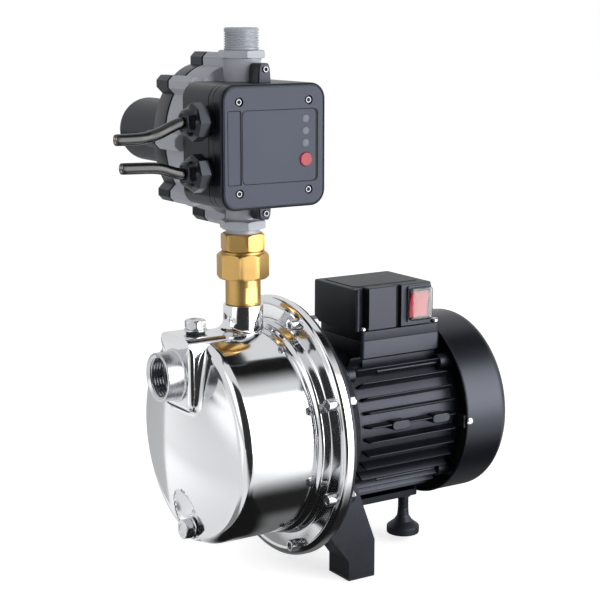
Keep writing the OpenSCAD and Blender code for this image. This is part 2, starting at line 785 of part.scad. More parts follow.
// Sheet steel cowl with a slotted back
module fan_cover() {
    ro = fan_cover_r;
    xe = x_cover_end;
    rr = 9;
    color([0.09, 0.09, 0.1]) at_shaft() difference() {
        xrev(concat([[x_cover, ro - cover_wall], [x_cover, ro]], arc(xe - rr, ro - rr, rr, 90, 0, 8),
            [[xe, 0], [xe - cover_wall, 0]], flip(arc(xe - rr, ro - rr, rr - cover_wall, 90, 0, 8))));
        for (k = [0:3]) let (rk = 16 + k * 11) for (i = [0:11]) rotate([i * 30 + k * 15, 0, 0])
            translate([xe - 3, -rk * 0.18, rk]) cube([6, rk * 0.36, 6]);
        around(4, 0) translate([x_cover + 2.5, 0, ro - 8]) cylinder(h = 10, r = 1.8, $fn = 24);
    }
}

module fan_screws() {
    color([0.7, 0.71, 0.73]) at_shaft() around(4, 0) translate([x_cover + 2.5, 0, 0]) {
        translate([0, 0, fan_cover_r]) cylinder(h = 1.6, r = 3.2, $fn = 32);
        translate([0, 0, fan_cover_r - 7]) cylinder(h = 7, r = 1.5, $fn = 24);
    }
}

module terminal_cover() {
    color([0.09, 0.09, 0.1]) translate([term_cx, term_cy, 0]) difference() {
        union() {
            zslab(term_l + 1, term_w + 1, 6, term_cover_z, term_top - 3);
            zslab(term_l - 1, term_w - 1, 6, term_top - 3, term_top - 1.2);
            zslab(term_l - 5, term_w - 5, 6, term_top - 1.2, term_top);
        }
        zslab(term_l + 1 - 2 * term_wall, term_w + 1 - 2 * term_wall, 4, term_cover_z - 1,
            term_top - term_wall - 1);
        translate([switch_cx - term_cx, term_y0 - term_cy, switch_cz])
            yslab(switch_w - 3, switch_h - 3, 1, -5, 8);
        for (x = [-term_l / 2 + 12, switch_cx - term_cx - switch_w / 2 - 5])
            translate([x, -term_w / 2 - 0.5, term_cover_z - 1]) cube([1.2, 0.8, term_h - 3]);
        translate([-term_cx, -term_cy, term_cover_z - 1]) at_cover_screws() cylinder(h = 8, r = 2, $fn = 24);
    }
}

module terminal_screws() {
    color([0.75, 0.76, 0.78]) at_cover_screws()
        translate([0, 0, term_base_z - 8]) cylinder(h = 12, r = 1.7, $fn = 24);
}

module terminal_block() {
    color([0.85, 0.82, 0.72]) translate([term_x0 + 10, term_cy - 12, shaft_h + tube_r + 3]) difference() {
        cube([18, 24, 11]);
        for (j = [0:2]) translate([9, 4 + j * 8, 5]) cylinder(h = 8, r = 2.4, $fn = 24);
    }
}

module capacitor() {
    color([0.75, 0.76, 0.78]) translate([term_x0 + 33, term_cy + 8, shaft_h + tube_r + 3 + 13]) {
        xcyl(0, cap_l, 13);
        xcyl(cap_l, cap_l + 3, 9);
    }
}

module switch_frame() {
    color([0.13, 0.13, 0.14]) translate([switch_cx, 0, switch_cz]) {
        difference() {
            union() {
                yslab(switch_w, switch_h, 1.5, switch_y, term_y0 - 0.5);
                yslab(switch_w - 3.4, switch_h - 3.4, 1, term_y0 - 0.5, term_y0 + 13);
            }
            yslab(rocker_w + 0.8, rocker_h + 0.8, 0.5, switch_y - 1, term_y0 + 9);
        }
        translate([0, pivot_y, 0]) xcyl(-rocker_w / 2 - 0.6, rocker_w / 2 + 0.6, 1.2 - run, 24);
    }
}

// Rocker with its pivot pin running along X behind the face
module switch_rocker() {
    e = rocker_h / 2 - 1.2;
    color([0.75, 0.12, 0.14]) translate([switch_cx, pivot_y, switch_cz]) rotate([rocker_tilt, 0, 0])
        difference() {
            translate([-rocker_w / 2, 0, 0]) rotate([90, 0, 90]) linear_extrude(rocker_w)
                polygon([[2.4, -3], [-5.2, -e], [-7.6, -e], [-6.7, -e / 2], [-6.4, 0], [-6.7, e / 2],
                    [-7.6, e], [-5.2, e], [2.4, 3]]);
            xcyl(-rocker_w / 2 - 1, rocker_w / 2 + 1, 1.2, 24);
        }
}

module splash_boot() {
    color([0.9, 0.9, 0.92]) translate([switch_cx, 0, switch_cz]) difference() {
        yslab(rocker_w + 3.4, rocker_h + 4.4, 2.4, switch_y - 4.4, switch_y);
        yslab(rocker_w + 1.8, rocker_h + 2.8, 1.6, switch_y - 3.6, switch_y + 1);
    }
}

module levelling_foot() {
    stop_z = rail_z - level_travel - level_gap;
    color([0.08, 0.08, 0.09]) translate([level_x - 4, 0, level_lift]) difference() {
        zrev([[0, 0], [level_d / 2 - 1, 0], [level_d / 2, 1], [level_d / 2, 6], [level_d / 2 - 3, 8.5],
            [8, 10.5], [5, 15], [4.6, 20], [4.6, stop_z - 2.2], [6.2, stop_z - 2.2], [6.2, stop_z],
            [4, stop_z], [4, rail_z + 9], [0, rail_z + 9]]);
        translate([0, 0, -1]) cylinder(h = 2.2, r = level_d / 2 - 4);
    }
}

module union_tail() {
    color([0.85, 0.65, 0.3]) translate([xs, 0, 0]) difference() {
        zrev([[water_r, z_riser - 12], [thread_r, z_riser - 12], [thread_r, z_riser], [tail_r, z_riser],
            [tail_r, collar_z0], [15, collar_z0], [15, collar_z0 + collar_t],
            [water_r, collar_z0 + collar_t]]);
        for (s = [-1, 1]) translate([-20, s * (tail_r - 0.9) - (s < 0 ? 10 : 0), z_riser + 2])
            cube([40, 10, 12]);
    }
}

module union_seal() {
    color([0.12, 0.12, 0.12]) translate([xs, 0, collar_z0 + collar_t]) difference() {
        cylinder(h = seal_t, r = 14.6);
        translate([0, 0, -1]) cylinder(h = seal_t + 2, r = water_r);
    }
}

module union_nut() {
    ir = 1 / cos(22.5);
    color([0.85, 0.65, 0.3]) translate([xs, 0, 0]) difference() {
        intersection() {
            zhex(nut_z0, nut_z1, nut_af, 8, 8);
            zrev([[0, nut_z0], [nut_af / 2 - 0.4, nut_z0], [nut_af / 2 * ir, nut_z0 + 1.6],
                [nut_af / 2 * ir, nut_z1 - 1.6], [nut_af / 2 - 0.4, nut_z1], [0, nut_z1]]);
        }
        translate([0, 0, nut_z0 - 1]) cylinder(h = nut_h + 2, r = tail_r + 0.3);
        translate([0, 0, collar_z0 - 0.3]) cylinder(h = nut_h, r = union_thread_r + run);
    }
}

module union_head() {
    color([0.85, 0.65, 0.3]) translate([xs, 0, 0]) difference() {
        union() {
            translate([0, 0, collar_z0 + collar_t + seal_t])
                cylinder(h = head_z0 - collar_z0 - collar_t - seal_t, r = union_thread_r);
            intersection() {
                zhex(head_z0, head_z1, head_af, 6, 14);
                zrev([[0, head_z0], [head_af / 2 + 0.2, head_z0], [head_af / 2 * 1.16, head_z0 + 1.4],
                    [head_af / 2 * 1.16, head_z1 - 1.4], [head_af / 2 + 0.2, head_z1], [0, head_z1]]);
            }
        }
        translate([0, 0, head_z0 - 30]) cylinder(h = 60, r = water_r);
        translate([0, 0, head_z1 - 12]) cylinder(h = 13, r = thread_r);
    }
}

// An upright oval slab between two Y values
module oval(rx, rz, y0, y1) {
    translate([0, y1, 0]) rotate([90, 0, 0]) linear_extrude(y1 - y0)
        polygon([for (i = [0:71]) [rx * cos(i * 5), rz * sin(i * 5)]]);
}

// One flange lug: a boss with its two outer corners cut off
module lug(y0, y1) {
    flat = lug_hw * tan(22.5);
    translate([0, y1, 0]) rotate([90, 0, 0]) linear_extrude(y1 - y0)
        polygon([[-12, -lug_hw], [flat, -lug_hw], [lug_hw, -flat], [lug_hw, flat], [flat, lug_hw],
            [-12, lug_hw]]);
}

module lug_ring(y0, y1) {
    oval(ring_rx, ring_rz, y0, y1);
    at_lugs() lug(y0, y1);
}

module flow_body() {
    color([0.67, 0.69, 0.74]) difference() {
        union() {
            translate([xs, 0, 0]) {
                translate([0, 0, head_z1 - 10]) cylinder(h = low_hex_z0 - head_z1 + 10, r = thread_r);
                zhex(low_hex_z0, low_hex_z0 + hex_h, body_hex_af, 6, 14);
                translate([0, 0, low_hex_z0 + hex_h])
                    cylinder(h = top_hex_z0 - low_hex_z0 - hex_h, r = neck_d / 2);
                zhex(top_hex_z0, nipple_z0, body_hex_af, 6, 14);
                translate([0, 0, nipple_z0]) cylinder(h = nipple_h, r = thread_r);
            }
            at_controller() {
                yslab(2 * core_hw, 2 * core_hh, ctrl_r - box_wall, box_floor_y, skirt_y + 1);
                oval(ring_rx - body_in, body_d / 2, skirt_y + slip, flange_y0);
                lug_ring(flange_y0, flange_y1);
                translate([-lug_hw, 0, ctrl_h / 2 + 0.8])
                    cube([2 * lug_hw, flange_y1, rib_top - ctrl_h / 2 - 0.8]);
                translate([-lug_hw, skirt_y + 0.8, body_d / 2 - 14])
                    cube([2 * lug_hw, flange_y0 - skirt_y, rib_top - body_d / 2 + 14]);
            }
        }
        translate([xs, 0, head_z1 - 12]) cylinder(h = seat_z - head_z1 + 12, r = water_r);
        translate([xs, 0, seat_z - 1]) cylinder(h = 4, r = water_r - 2.5);
        difference() {
            translate([xs, 0, seat_z + 2]) cylinder(h = z_top, r = water_r);
            translate([xs - water_r - 1, -2, seat_z + 2 + poppet_h + valve_lift + slip])
                cube([2 * water_r + 2, 4, 3]);
        }
        at_controller() {
            ycyl(20, flange_y1 + 1, chamber_r);
            ycyl(0, 22, 7);
            at_lugs() ycyl(flange_y1 - 12, flange_y1 + 1, 1.8, 24);
        }
    }
}

module check_poppet() {
    color([0.9, 0.9, 0.88]) translate([xs, 0, seat_z + 2]) {
        cylinder(h = 4, r = water_r - 0.4);
        translate([0, 0, 4]) cylinder(h = poppet_h - 4, r = 3);
    }
}

module diaphragm() {
    color([0.1, 0.1, 0.1]) at_controller() difference() {
        oval(ring_rx - 2, ring_rz - 2, flange_y1, ring_y0);
        at_lugs() ycyl(flange_y1 - 1, ring_y0 + 1, 2.6, 24);
    }
}

module dome_cover() {
    rr = 10;
    color([0.11, 0.12, 0.14]) at_controller() difference() {
        union() {
            lug_ring(ring_y0, ring_y1);
            rotate([-90, 0, 0]) zrev(concat([[0, ring_y0], [ring_rx - 5, ring_y0], [ring_rx - 5, ring_y1 + 2],
                [dome_r + 6, ring_y1 + 5], [dome_r, ring_y1 + 9]],
                arc(dome_r - rr, dome_dy - rr, rr, 0, 90, 8), [[0, dome_dy]]));
        }
        ycyl(ring_y0 - 1, ring_y1 - 3, chamber_r);
        ycyl(ring_y0, dome_dy - 4, dome_r - 4);
        at_lugs() ycyl(ring_y0 - 1, ring_y1 + 1, 2.3, 24);
    }
}

module cover_screws() {
    color([0.72, 0.73, 0.75]) at_controller() at_lugs() {
        ycyl(ring_y1, ring_y1 + 3, 4, 32);
        ycyl(flange_y1 - 10, ring_y1, 1.8, 24);
    }
}

module box_ear(z0, z1, up) {
    translate([ear_x - ear_w / 2, ear_y0, z0]) cube([ear_w, ear_y1 - ear_y0, z1 - z0]);
    translate([ear_x + ear_w / 2 - 6, ear_y0 + 2, up > 0 ? z0 : z1 - 1]) cube([6, 9, 1]);
}

module control_box() {
    color([0.12, 0.12, 0.14]) at_controller() difference() {
        union() {
            yslab(ctrl_w, ctrl_h, ctrl_r, seam_y, skirt_y);
            box_ear(ctrl_h / 2 - 2, ctrl_h / 2 + ear_h, 1);
            box_ear(-ctrl_h / 2 - 11, -ctrl_h / 2 + 2, -1);
        }
        for (span = [[box_floor_y - slip, skirt_y + 1], [seam_y - 1, box_floor_y - 3]])
            yslab(ctrl_w - 2 * box_wall, ctrl_h - 2 * box_wall, ctrl_r - box_wall, span[0], span[1]);
        for (s = [-1, 1]) translate([0, 0, s * ctrl_h / 2]) {
            translate([0, 0, -8]) cylinder(h = 16, r = neck_d / 2 + slip);
            translate([-neck_d / 2 - slip, 0, -8]) cube([neck_d + 2 * slip, skirt_y + 1, 16]);
        }
        at_glands() xcyl(-ctrl_w / 2 - 1, -ctrl_w / 2 + 6, 7);
        at_ear_screws() ycyl(ear_y0 - 1, ear_y0 + 10, 1.6, 24);
        at_panel_screws() ycyl(seam_y - 1, box_floor_y - 1.5, 1.5, 24);
    }
}

module front_frame() {
    color([0.12, 0.12, 0.14]) at_controller() difference() {
        union() {
            yslab(ctrl_w, ctrl_h, ctrl_r, panel_y + 1.5, seam_y);
            yslab(ctrl_w - 2, ctrl_h - 2, ctrl_r - 1, panel_y, panel_y + 1.5);
        }
        yslab(plate_w + 2 * slip, plate_h + 2 * slip, ctrl_r - 2 + slip, panel_y - 1, panel_y + plate_t);
        yslab(plate_w - 10, plate_h - 10, ctrl_r - 6, panel_y, seam_y + 1);
    }
}

module circuit_board() {
    color([0.1, 0.4, 0.25]) at_controller() difference() {
        yslab(plate_w - 12, plate_h - 12, 5, seam_y - 1.6, seam_y);
        at_panel_screws() ycyl(seam_y - 3, seam_y + 1, 3.4, 24);
    }
}

module panel_plate() {
    y0 = panel_y;
    color([0.37, 0.39, 0.45]) at_controller() difference() {
        union() {
            yslab(plate_w, plate_h, ctrl_r - 2, y0 + 0.6, y0 + plate_t);
            yslab(plate_w - 1.6, plate_h - 1.6, ctrl_r - 2.8, y0, y0 + 0.6);
        }
        translate([window_dx, 0, 0]) yslab(window_w, window_h, 4, y0 - 1, y0 + 0.5);
        translate([strip_dx, 0, 0]) yslab(strip_w, window_h, 1.5, y0 - 1, y0 + 0.5);
        for (dz = lamp_dz) translate([lamp_dx, 0, dz]) ycyl(y0 - 1, y0 + plate_t + 1, lamp_d / 2);
        translate([lamp_dx, 0, reset_dz]) ycyl(y0 - 1, y0 + plate_t + 1, reset_d / 2 + 0.1);
        at_panel_screws() {
            ycyl(y0 - 1, y0 + 1.8, 3.5, 40);
            ycyl(y0 - 1, y0 + plate_t + 1, 1.9, 24);
        }
    }
}

module panel_screws() {
    color([0.7, 0.71, 0.73]) at_controller() at_panel_screws() {
        ycyl(panel_y + 0.2, panel_y + 1.8, 3.2, 40);
        ycyl(panel_y + 1.8, box_floor_y - 2, 1.4, 24);
    }
}

module status_lamps() {
    color([0.45, 0.52, 0.6]) at_controller() for (dz = lamp_dz) translate([lamp_dx, 0, dz])
        ycyl(panel_y + 0.1, seam_y - 1.6, lamp_d / 2);
}

module reset_button() {
    color([0.85, 0.15, 0.15]) at_controller() translate([lamp_dx, 0, reset_dz]) {
        ycyl(panel_y - 1.2, seam_y - 1.6 - reset_travel - 0.3, reset_d / 2);
        ycyl(panel_y + plate_t + reset_travel - 1.2, seam_y - 1.9 - reset_travel, reset_d / 2 + 1.2);
    }
}

module ear_screws() {
    color([0.7, 0.71, 0.73]) at_controller() at_ear_screws() {
        ycyl(ear_y0 - 1.6, ear_y0, 3, 32);
        ycyl(ear_y0, ear_y0 + 9, 1.6, 24);
    }
}

module gland_nuts() {
    x0 = -ctrl_w / 2;
    x1 = x0 - gland_collar_t;
    x2 = x1 - gland_nut_l;
    ro = gland_af / 2;
    color([0.07, 0.07, 0.08]) at_controller() at_glands() difference() {
        union() {
            xcyl(x1, x0, 11.5);
            xcyl(x0, x0 + box_wall, 6.8);
            intersection() {
                xhex(x2, x1, gland_af, 8, 22.5);
                xrev([[x1, 0], [x1, ro + 0.4], [x1 - 3, ro * 1.09], [x2 + 5, ro * 1.09], [x2, ro - 2.4],
                    [x2, 0]]);
            }
            xrev([[x_nose - xs, 0], [x_nose - xs, 8.2], [x_nose - xs + 4, 9.8], [x2, 10.2], [x2, 0]]);
        }
        xcyl(x_nose - xs - 1, x0 + 6, 6);
    }
}

module gland_seals() {
    x0 = -ctrl_w / 2;
    color([0.05, 0.05, 0.05]) at_controller() at_glands()
        xtube(x_nose - xs + 0.8, x0 - gland_collar_t, 6, lead_r);
}

function unit(v) = v / norm(v);

function tangent(p, i) = unit(i == 0 ? [-1, 0, 0] : i == len(p) - 1 ? p[i] - p[i - 1] : p[i + 1] - p[i - 1]);

// Round tube swept along a list of points that run mostly along X
module sweep(p, r, n = 10) {
    pts = [for (i = [0:len(p) - 1]) let (t = tangent(p, i), u = unit(cross(t, [0, 0, 1])), w = cross(u, t))
        for (k = [0:n - 1]) p[i] + r * (cos(360 * k / n) * u + sin(360 * k / n) * w)];
    side = [for (i = [0:len(p) - 2]) for (k = [0:n - 1]) let (m = (k + 1) % n)
        [i * n + k, i * n + m, (i + 1) * n + m, (i + 1) * n + k]];
    caps = [[for (k = [n - 1:-1:0]) k], [for (k = [0:n - 1]) (len(p) - 1) * n + k]];
    polyhedron(points = pts, faces = concat(side, caps), convexity = 4);
}

// Each lead starts inside its gland seal
module lead(path, dz) {
    base = [x_nose, gland_y, cz + dz];
    translate(base) {
        sweep(path, lead_r);
        xcyl(0, gland_nose_l + gland_nut_l, lead_r);
    }
}

module lead_upper() { color([0.06, 0.06, 0.07]) lead(lead_upper_path, gland_dz); }

module lead_lower() { color([0.06, 0.06, 0.07]) lead(lead_lower_path, -gland_dz); }

pump_casing();
suction_socket();
discharge_riser();
priming_plug();
priming_seal();
drain_plug();
drain_seal();
casing_gasket();
flange_bolts();
flange_nuts();
bracket();
seal_seat();
seal_head();
impeller();
impeller_nut();
diffuser();
ejector();
nozzle();
shaft();
rotor();
stator();
windings();
bearing_front();
bearing_rear();
motor_housing();
end_shield();
shield_screws();
fan();
fan_cover();
fan_screws();
terminal_cover();
terminal_screws();
terminal_block();
capacitor();
switch_frame();
switch_rocker();
splash_boot();
levelling_foot();
union_tail();
union_seal();
union_nut();
union_head();
flow_body();
check_poppet();
diaphragm();
dome_cover();
cover_screws();
control_box();
front_frame();
circuit_board();
panel_plate();
panel_screws();
status_lamps();
reset_button();
ear_screws();
gland_nuts();
gland_seals();
lead_upper();
lead_lower();
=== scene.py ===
import math

import bmesh
import bpy
import numpy as np
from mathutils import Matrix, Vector


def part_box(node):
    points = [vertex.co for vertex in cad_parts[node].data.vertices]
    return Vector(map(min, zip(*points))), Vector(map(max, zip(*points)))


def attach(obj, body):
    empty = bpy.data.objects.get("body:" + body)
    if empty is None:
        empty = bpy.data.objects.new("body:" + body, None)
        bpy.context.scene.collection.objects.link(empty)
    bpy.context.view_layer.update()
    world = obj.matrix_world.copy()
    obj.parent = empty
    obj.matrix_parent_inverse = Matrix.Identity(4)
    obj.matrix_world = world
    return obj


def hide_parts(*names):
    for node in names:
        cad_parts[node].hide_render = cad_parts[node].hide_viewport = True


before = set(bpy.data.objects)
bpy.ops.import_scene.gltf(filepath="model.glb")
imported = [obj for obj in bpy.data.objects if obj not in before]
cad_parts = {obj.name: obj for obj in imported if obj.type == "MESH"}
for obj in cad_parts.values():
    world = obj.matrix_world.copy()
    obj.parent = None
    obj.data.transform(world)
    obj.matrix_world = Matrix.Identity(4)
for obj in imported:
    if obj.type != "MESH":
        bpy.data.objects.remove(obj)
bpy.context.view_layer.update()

# Camera at the photograph's angle: it looks at the pump's suction port and control panel from the left,
# a little above the shaft. The field of view is the photograph's, which is 600 pixels square.
camera_azimuth = math.radians(-32.465)
camera_elevation = math.radians(10.822)
focal_pixels = 1526.7
photo_pixels = 600
camera_data = bpy.data.cameras.new("camera")
camera_data.lens = camera_data.sensor_width * focal_pixels / photo_pixels
camera = bpy.data.objects.new("camera", camera_data)
camera.location = (-0.6544, -0.9969, 0.4421)
back = Vector((math.sin(camera_azimuth) * math.cos(camera_elevation),
               -math.cos(camera_azimuth) * math.cos(camera_elevation),
               math.sin(camera_elevation)))
camera.rotation_mode = "QUATERNION"
camera.rotation_quaternion = (-back).to_track_quat("-Z", "Y")
bpy.context.scene.collection.objects.link(camera)
bpy.context.scene.camera = camera

# The two leads: black round cable that leaves the glands on the control box and is cut off square after
# 50 to 60 mm, with its cores showing. Each is held by its gland seal and rides on the base.
MM = 0.001
lead_d = 8.4
lead_points = {
    "lead_upper": [(0, 0, 0), (-5, 0, -1.2), (-11, 0, -3.6), (-16, -0.5, -5.6), (-21, -1, -7.3),
                   (-27, -1, -8.8),
                   (-34, -2, -9.7), (-44, -2, -10), (-54, -2, -9.9)],
    "lead_lower": [(0, 0, 0), (-5, 0, 0.9), (-11, 0, 2.7), (-16, -0.5, 4.4), (-21, -1, 5.5), (-28, -1, 6.1),
                   (-35, -1, 6.3), (-42, -1, 6.5), (-49.5, -1, 6.7)],
}


def node_box(node):
    """Lowest and highest corner of a CAD node, in millimetres."""
    low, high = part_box(node)
    return low / MM, high / MM


def new_piece(name, points, faces, material, body="base", stands_for=(), sharp=32):
    """A mesh piece from points in millimetres, smooth but for edges sharper than the angle."""
    mesh = bpy.data.meshes.new(name)
    mesh.from_pydata([Vector(p) * MM for p in points], [], faces)
    mesh.shade_smooth()
    mesh.set_sharp_from_angle(angle=math.radians(sharp))
    mesh.materials.append(material)
    piece = bpy.data.objects.new(name, mesh)
    bpy.context.scene.collection.objects.link(piece)
    if body:
        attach(piece, body)
    if stands_for:
        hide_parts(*stands_for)
    return piece


def link(material, source, target):
    material.node_tree.links.new(source, target)


def new_finish(name, base, roughness, metallic=0.0, **plain):
    """A material with one Principled shader, its plain values on its own sockets."""
    material = bpy.data.materials.new(name)
    material.use_nodes = True
    shader = material.node_tree.nodes["Principled BSDF"]
    shader.inputs["Base Color"].default_value = (*base, 1)
    shader.inputs["Roughness"].default_value = roughness
    shader.inputs["Metallic"].default_value = metallic
    for socket, value in plain.items():
        shader.inputs[socket.replace("_", " ")].default_value = value
    return material


def new_group(name, inputs, outputs, kind="ShaderNodeTree"):
    """An empty node group; inputs are (name, kind, value) rows and outputs (name, kind) rows."""
    tree = bpy.data.node_groups.new(name, kind)
    for label, socket_kind, value in inputs:
        socket = tree.interface.new_socket(label, in_out="INPUT", socket_type="NodeSocket" + socket_kind)
        if value is not None:
            socket.default_value = value
    for label, socket_kind in outputs:
        tree.interface.new_socket(label, in_out="OUTPUT", socket_type="NodeSocket" + socket_kind)
    return tree, tree.nodes.new("NodeGroupInput"), tree.nodes.new("NodeGroupOutput")


def math_node(tree, operation, first, second=None, clamp=False):
    node = tree.nodes.new("ShaderNodeMath")
    node.operation = operation
    node.use_clamp = clamp
    for socket, value in zip(node.inputs, (first, second)):
        if isinstance(value, (int, float)):
            socket.default_value = value
        elif value is not None:
            tree.links.new(value, socket)
    return node.outputs[0]


# Cloudy tint, uneven gloss and fine grain, which every moulded, cast or painted surface here has
grain, grain_in, grain_out = new_group(
    "surface_grain",
    [("Colour", "Color", (0.5, 0.5, 0.5, 1)), ("Tint", "Float", 0.1), ("Cloud Scale", "Float", 40.0),
     ("Grain Scale", "Float", 2500.0), ("Roughness", "Float", 0.4), ("Spread", "Float", 0.15)],
    [("Colour", "Color"), ("Roughness", "Float"), ("Height", "Float")])
place = grain.nodes.new("ShaderNodeTexCoord").outputs["Object"]
cloud = grain.nodes.new("ShaderNodeTexNoise")
cloud.inputs["Detail"].default_value = 4
fine = grain.nodes.new("ShaderNodeTexNoise")
fine.inputs["Detail"].default_value = 2
for noise, scale in ((cloud, "Cloud Scale"), (fine, "Grain Scale")):
    grain.links.new(place, noise.inputs["Vector"])
    grain.links.new(grain_in.outputs[scale], noise.inputs["Scale"])
swing = math_node(grain, "SUBTRACT", cloud.outputs["Fac"], 0.5)
shade = math_node(grain, "ADD", math_node(grain, "MULTIPLY", swing, grain_in.outputs["Tint"]), 1.0)
tinted = grain.nodes.new("ShaderNodeVectorMath")
tinted.operation = "SCALE"
grain.links.new(grain_in.outputs["Colour"], tinted.inputs[0])
grain.links.new(shade, tinted.inputs["Scale"])
grain.links.new(tinted.outputs[0], grain_out.inputs["Colour"])
both = math_node(grain, "ADD", swing, math_node(grain, "SUBTRACT", fine.outputs["Fac"], 0.5))
gloss = math_node(grain, "ADD", grain_in.outputs["Roughness"],
                  math_node(grain, "MULTIPLY", both, grain_in.outputs["Spread"]), clamp=True)
grain.links.new(gloss, grain_out.inputs["Roughness"])
grain.links.new(fine.outputs["Fac"], grain_out.inputs["Height"])


def add_bump(material, height, strength, distance):
    """Feeds the shader's normal from a height; distance is in millimetres."""
    bump = material.node_tree.nodes.new("ShaderNodeBump")
    bump.inputs["Strength"].default_value = strength
    bump.inputs["Distance"].default_value = distance * MM
    link(material, height, bump.inputs["Height"])
    link(material, bump.outputs["Normal"], material.node_tree.nodes["Principled BSDF"].inputs["Normal"])


def grained_finish(name, base, roughness, metallic=0.0, tint=0.12, clouds=40, grains=2500, spread=0.12,
                   relief=0.03, strength=0.5, **plain):
    """A finish whose colour, gloss and normal come from the grain group."""
    material = new_finish(name, base, roughness, metallic, **plain)
    node = material.node_tree.nodes.new("ShaderNodeGroup")
    node.name = "grain"
    node.node_tree = grain
    node.inputs["Colour"].default_value = (*base, 1)
    for socket, value in (("Tint", tint), ("Cloud Scale", clouds), ("Grain Scale", grains),
                          ("Roughness", roughness), ("Spread", spread)):
        node.inputs[socket].default_value = value
    shader = material.node_tree.nodes["Principled BSDF"]
    link(material, node.outputs["Colour"], shader.inputs["Base Color"])
    link(material, node.outputs["Roughness"], shader.inputs["Roughness"])
    if relief:
        add_bump(material, node.outputs["Height"], strength, relief)
    return material


def smooth_path(points, step):
    """The chosen points joined by one smooth curve, in short steps."""
    p = [np.array(q, float) for q in points]
    p = [2 * p[0] - p[1], *p, 2 * p[-1] - p[-2]]
    path = []
    for a, b, c, d in zip(p, p[1:], p[2:], p[3:]):
        count = max(2, round(np.linalg.norm(c - b) / step))
        for t in np.arange(count) / count:
            path.append(0.5 * (2 * b + (c - a) * t + (2 * a - 5 * b + 4 * c - d) * t ** 2
                               + (3 * b - a - 3 * c + d) * t ** 3))
    return [*path, p[-2]]


def tube_mesh(path, radii, sides):
    """Points and faces of a closed tube of changing radius along a path."""
    path = [Vector(q) for q in path]
    points = []
    across = Vector((0, 0, 1))
    for i, q in enumerate(path):
        along = (path[min(i + 1, len(path) - 1)] - path[max(i - 1, 0)]).normalized()
        across = (across - along * across.dot(along)).normalized()
        over = along.cross(across)
        for k in range(sides):
            turn = 2 * math.pi * k / sides
            points.append(q + radii[i] * (across * math.cos(turn) + over * math.sin(turn)))
    faces = [[i * sides + k, i * sides + (k + 1) % sides, (i + 1) * sides + (k + 1) % sides,
              (i + 1) * sides + k]
             for i in range(len(path) - 1) for k in range(sides)]
    last = (len(path) - 1) * sides
    faces += [list(range(sides))[::-1], list(range(last, last + sides))]
    return points, faces


lead_black = grained_finish("lead_black", (0.004, 0.004, 0.005), 0.2, tint=0.3, clouds=120, grains=1500,
                            relief=0.012)
core_sheath = grained_finish("core_sheath", (0.62, 0.62, 0.64), 0.5, relief=0)
core_copper = grained_finish("core_copper", (0.85, 0.45, 0.28), 0.35, metallic=1.0, relief=0)
gland_low, gland_high = node_box("gland_nuts")
core_d = 2.1
gland_half = 13
for name, route in lead_points.items():
    start = Vector((gland_low.x, (gland_low.y + gland_high.y) / 2,
                    gland_high.z - gland_half if name == "lead_upper" else gland_low.z + gland_half))
    path = smooth_path([start + Vector(q) for q in [(3, 0, 0), *route]], 1.5)
    root_path = [path[0] + np.array((x, 0, 0)) for x in (16, 8, 0)]
    new_piece(name + "_root", *tube_mesh(root_path, [lead_d / 2] * 3, 32), lead_black)
    radii = [lead_d / 2] * (len(path) - 1) + [lead_d / 2 - 0.2]
    points, faces = tube_mesh(path, radii, 32)
    lead = new_piece(name + "_cable", points, faces, lead_black, stands_for=[name])
    end, along = Vector(path[-1]), (Vector(path[-1]) - Vector(path[-2])).normalized()
    across = along.cross(Vector((0, 0, 1))).normalized()
    over = along.cross(across)
    for k in range(3):
        turn = math.radians(90 + 120 * k)
        middle = end + 1.75 * (across * math.cos(turn) + over * math.sin(turn))
        for part, radius, reach, finish in (("sheath", core_d / 2, 0.25, core_sheath),
                                            ("copper", core_d / 4, 0.45, core_copper)):
            ring = tube_mesh([middle - along, middle + along * reach * 0.8, middle + along * reach],
                             [radius, radius, radius * 0.85], 16)
            new_piece(f"{name}_{part}_{k + 1}", *ring, finish)

# Pump casing: one deep-drawn stainless pot, polished to a mirror. Its front is slightly domed, and a bead,
# a neck and a flange with a turned-back rim are rolled into its open end, where eight bolts clamp it.
casing_low, casing_high = node_box("pump_casing")
shaft_low, shaft_high = node_box("shaft")
shaft_z = (shaft_low.z + shaft_high.z) / 2
sheet = 1.8
rim_depth = 7.3
flange_r = (casing_high.y - casing_low.y) / 2
flange_x = casing_high.x - rim_depth
drum_r = flange_r - 21.5
edge_r = 8
dome_h = 8
edge_x = flange_x - 73
apex_x = edge_x - dome_h
dome_sr = ((drum_r - edge_r) ** 2 + dome_h ** 2) / (2 * dome_h)
bead_x = flange_x - 9.5
bead_depth = 1.6


def arc(ca, cr, r, start, end, count):
    """Points (along, radius) of an arc round (ca, cr), between two angles in degrees."""
    turns = [math.radians(start + (end - start) * i / count) for i in range(count + 1)]
    return [(ca + r * math.cos(t), cr + r * math.sin(t)) for t in turns]


def soft(corners, steps=5):
    """An outline of (along, radius, rounding) corners with each corner rounded off."""
    out = []
    for i, (a, r, rounding) in enumerate(corners):
        here = Vector((a, r))
        if not rounding or i in (0, len(corners) - 1):
            out.append((a, r))
            continue
        before = (Vector(corners[i - 1][:2]) - here)
        after = (Vector(corners[i + 1][:2]) - here)
        half = before.angle(after) / 2
        reach = min(rounding / max(math.tan(half), 1e-6), before.length * 0.49, after.length * 0.49)
        start, end = here + before.normalized() * reach, here + after.normalized() * reach
        for k in range(steps + 1):
            t = k / steps
            q = start * (1 - t) ** 2 + 2 * here * t * (1 - t) + end * t ** 2
            out.append((q.x, q.y))
    return out


def outward(points, faces):
    """The faces of a closed shape, turned to point outwards."""
    p = np.array([tuple(q) for q in points], float)
    volume = 0.0
    for face in faces:
        for b, c in zip(face[1:], face[2:]):
            volume += np.dot(p[face[0]], np.cross(p[b], p[c]))
    return faces if volume >= 0 else [list(face)[::-1] for face in faces]


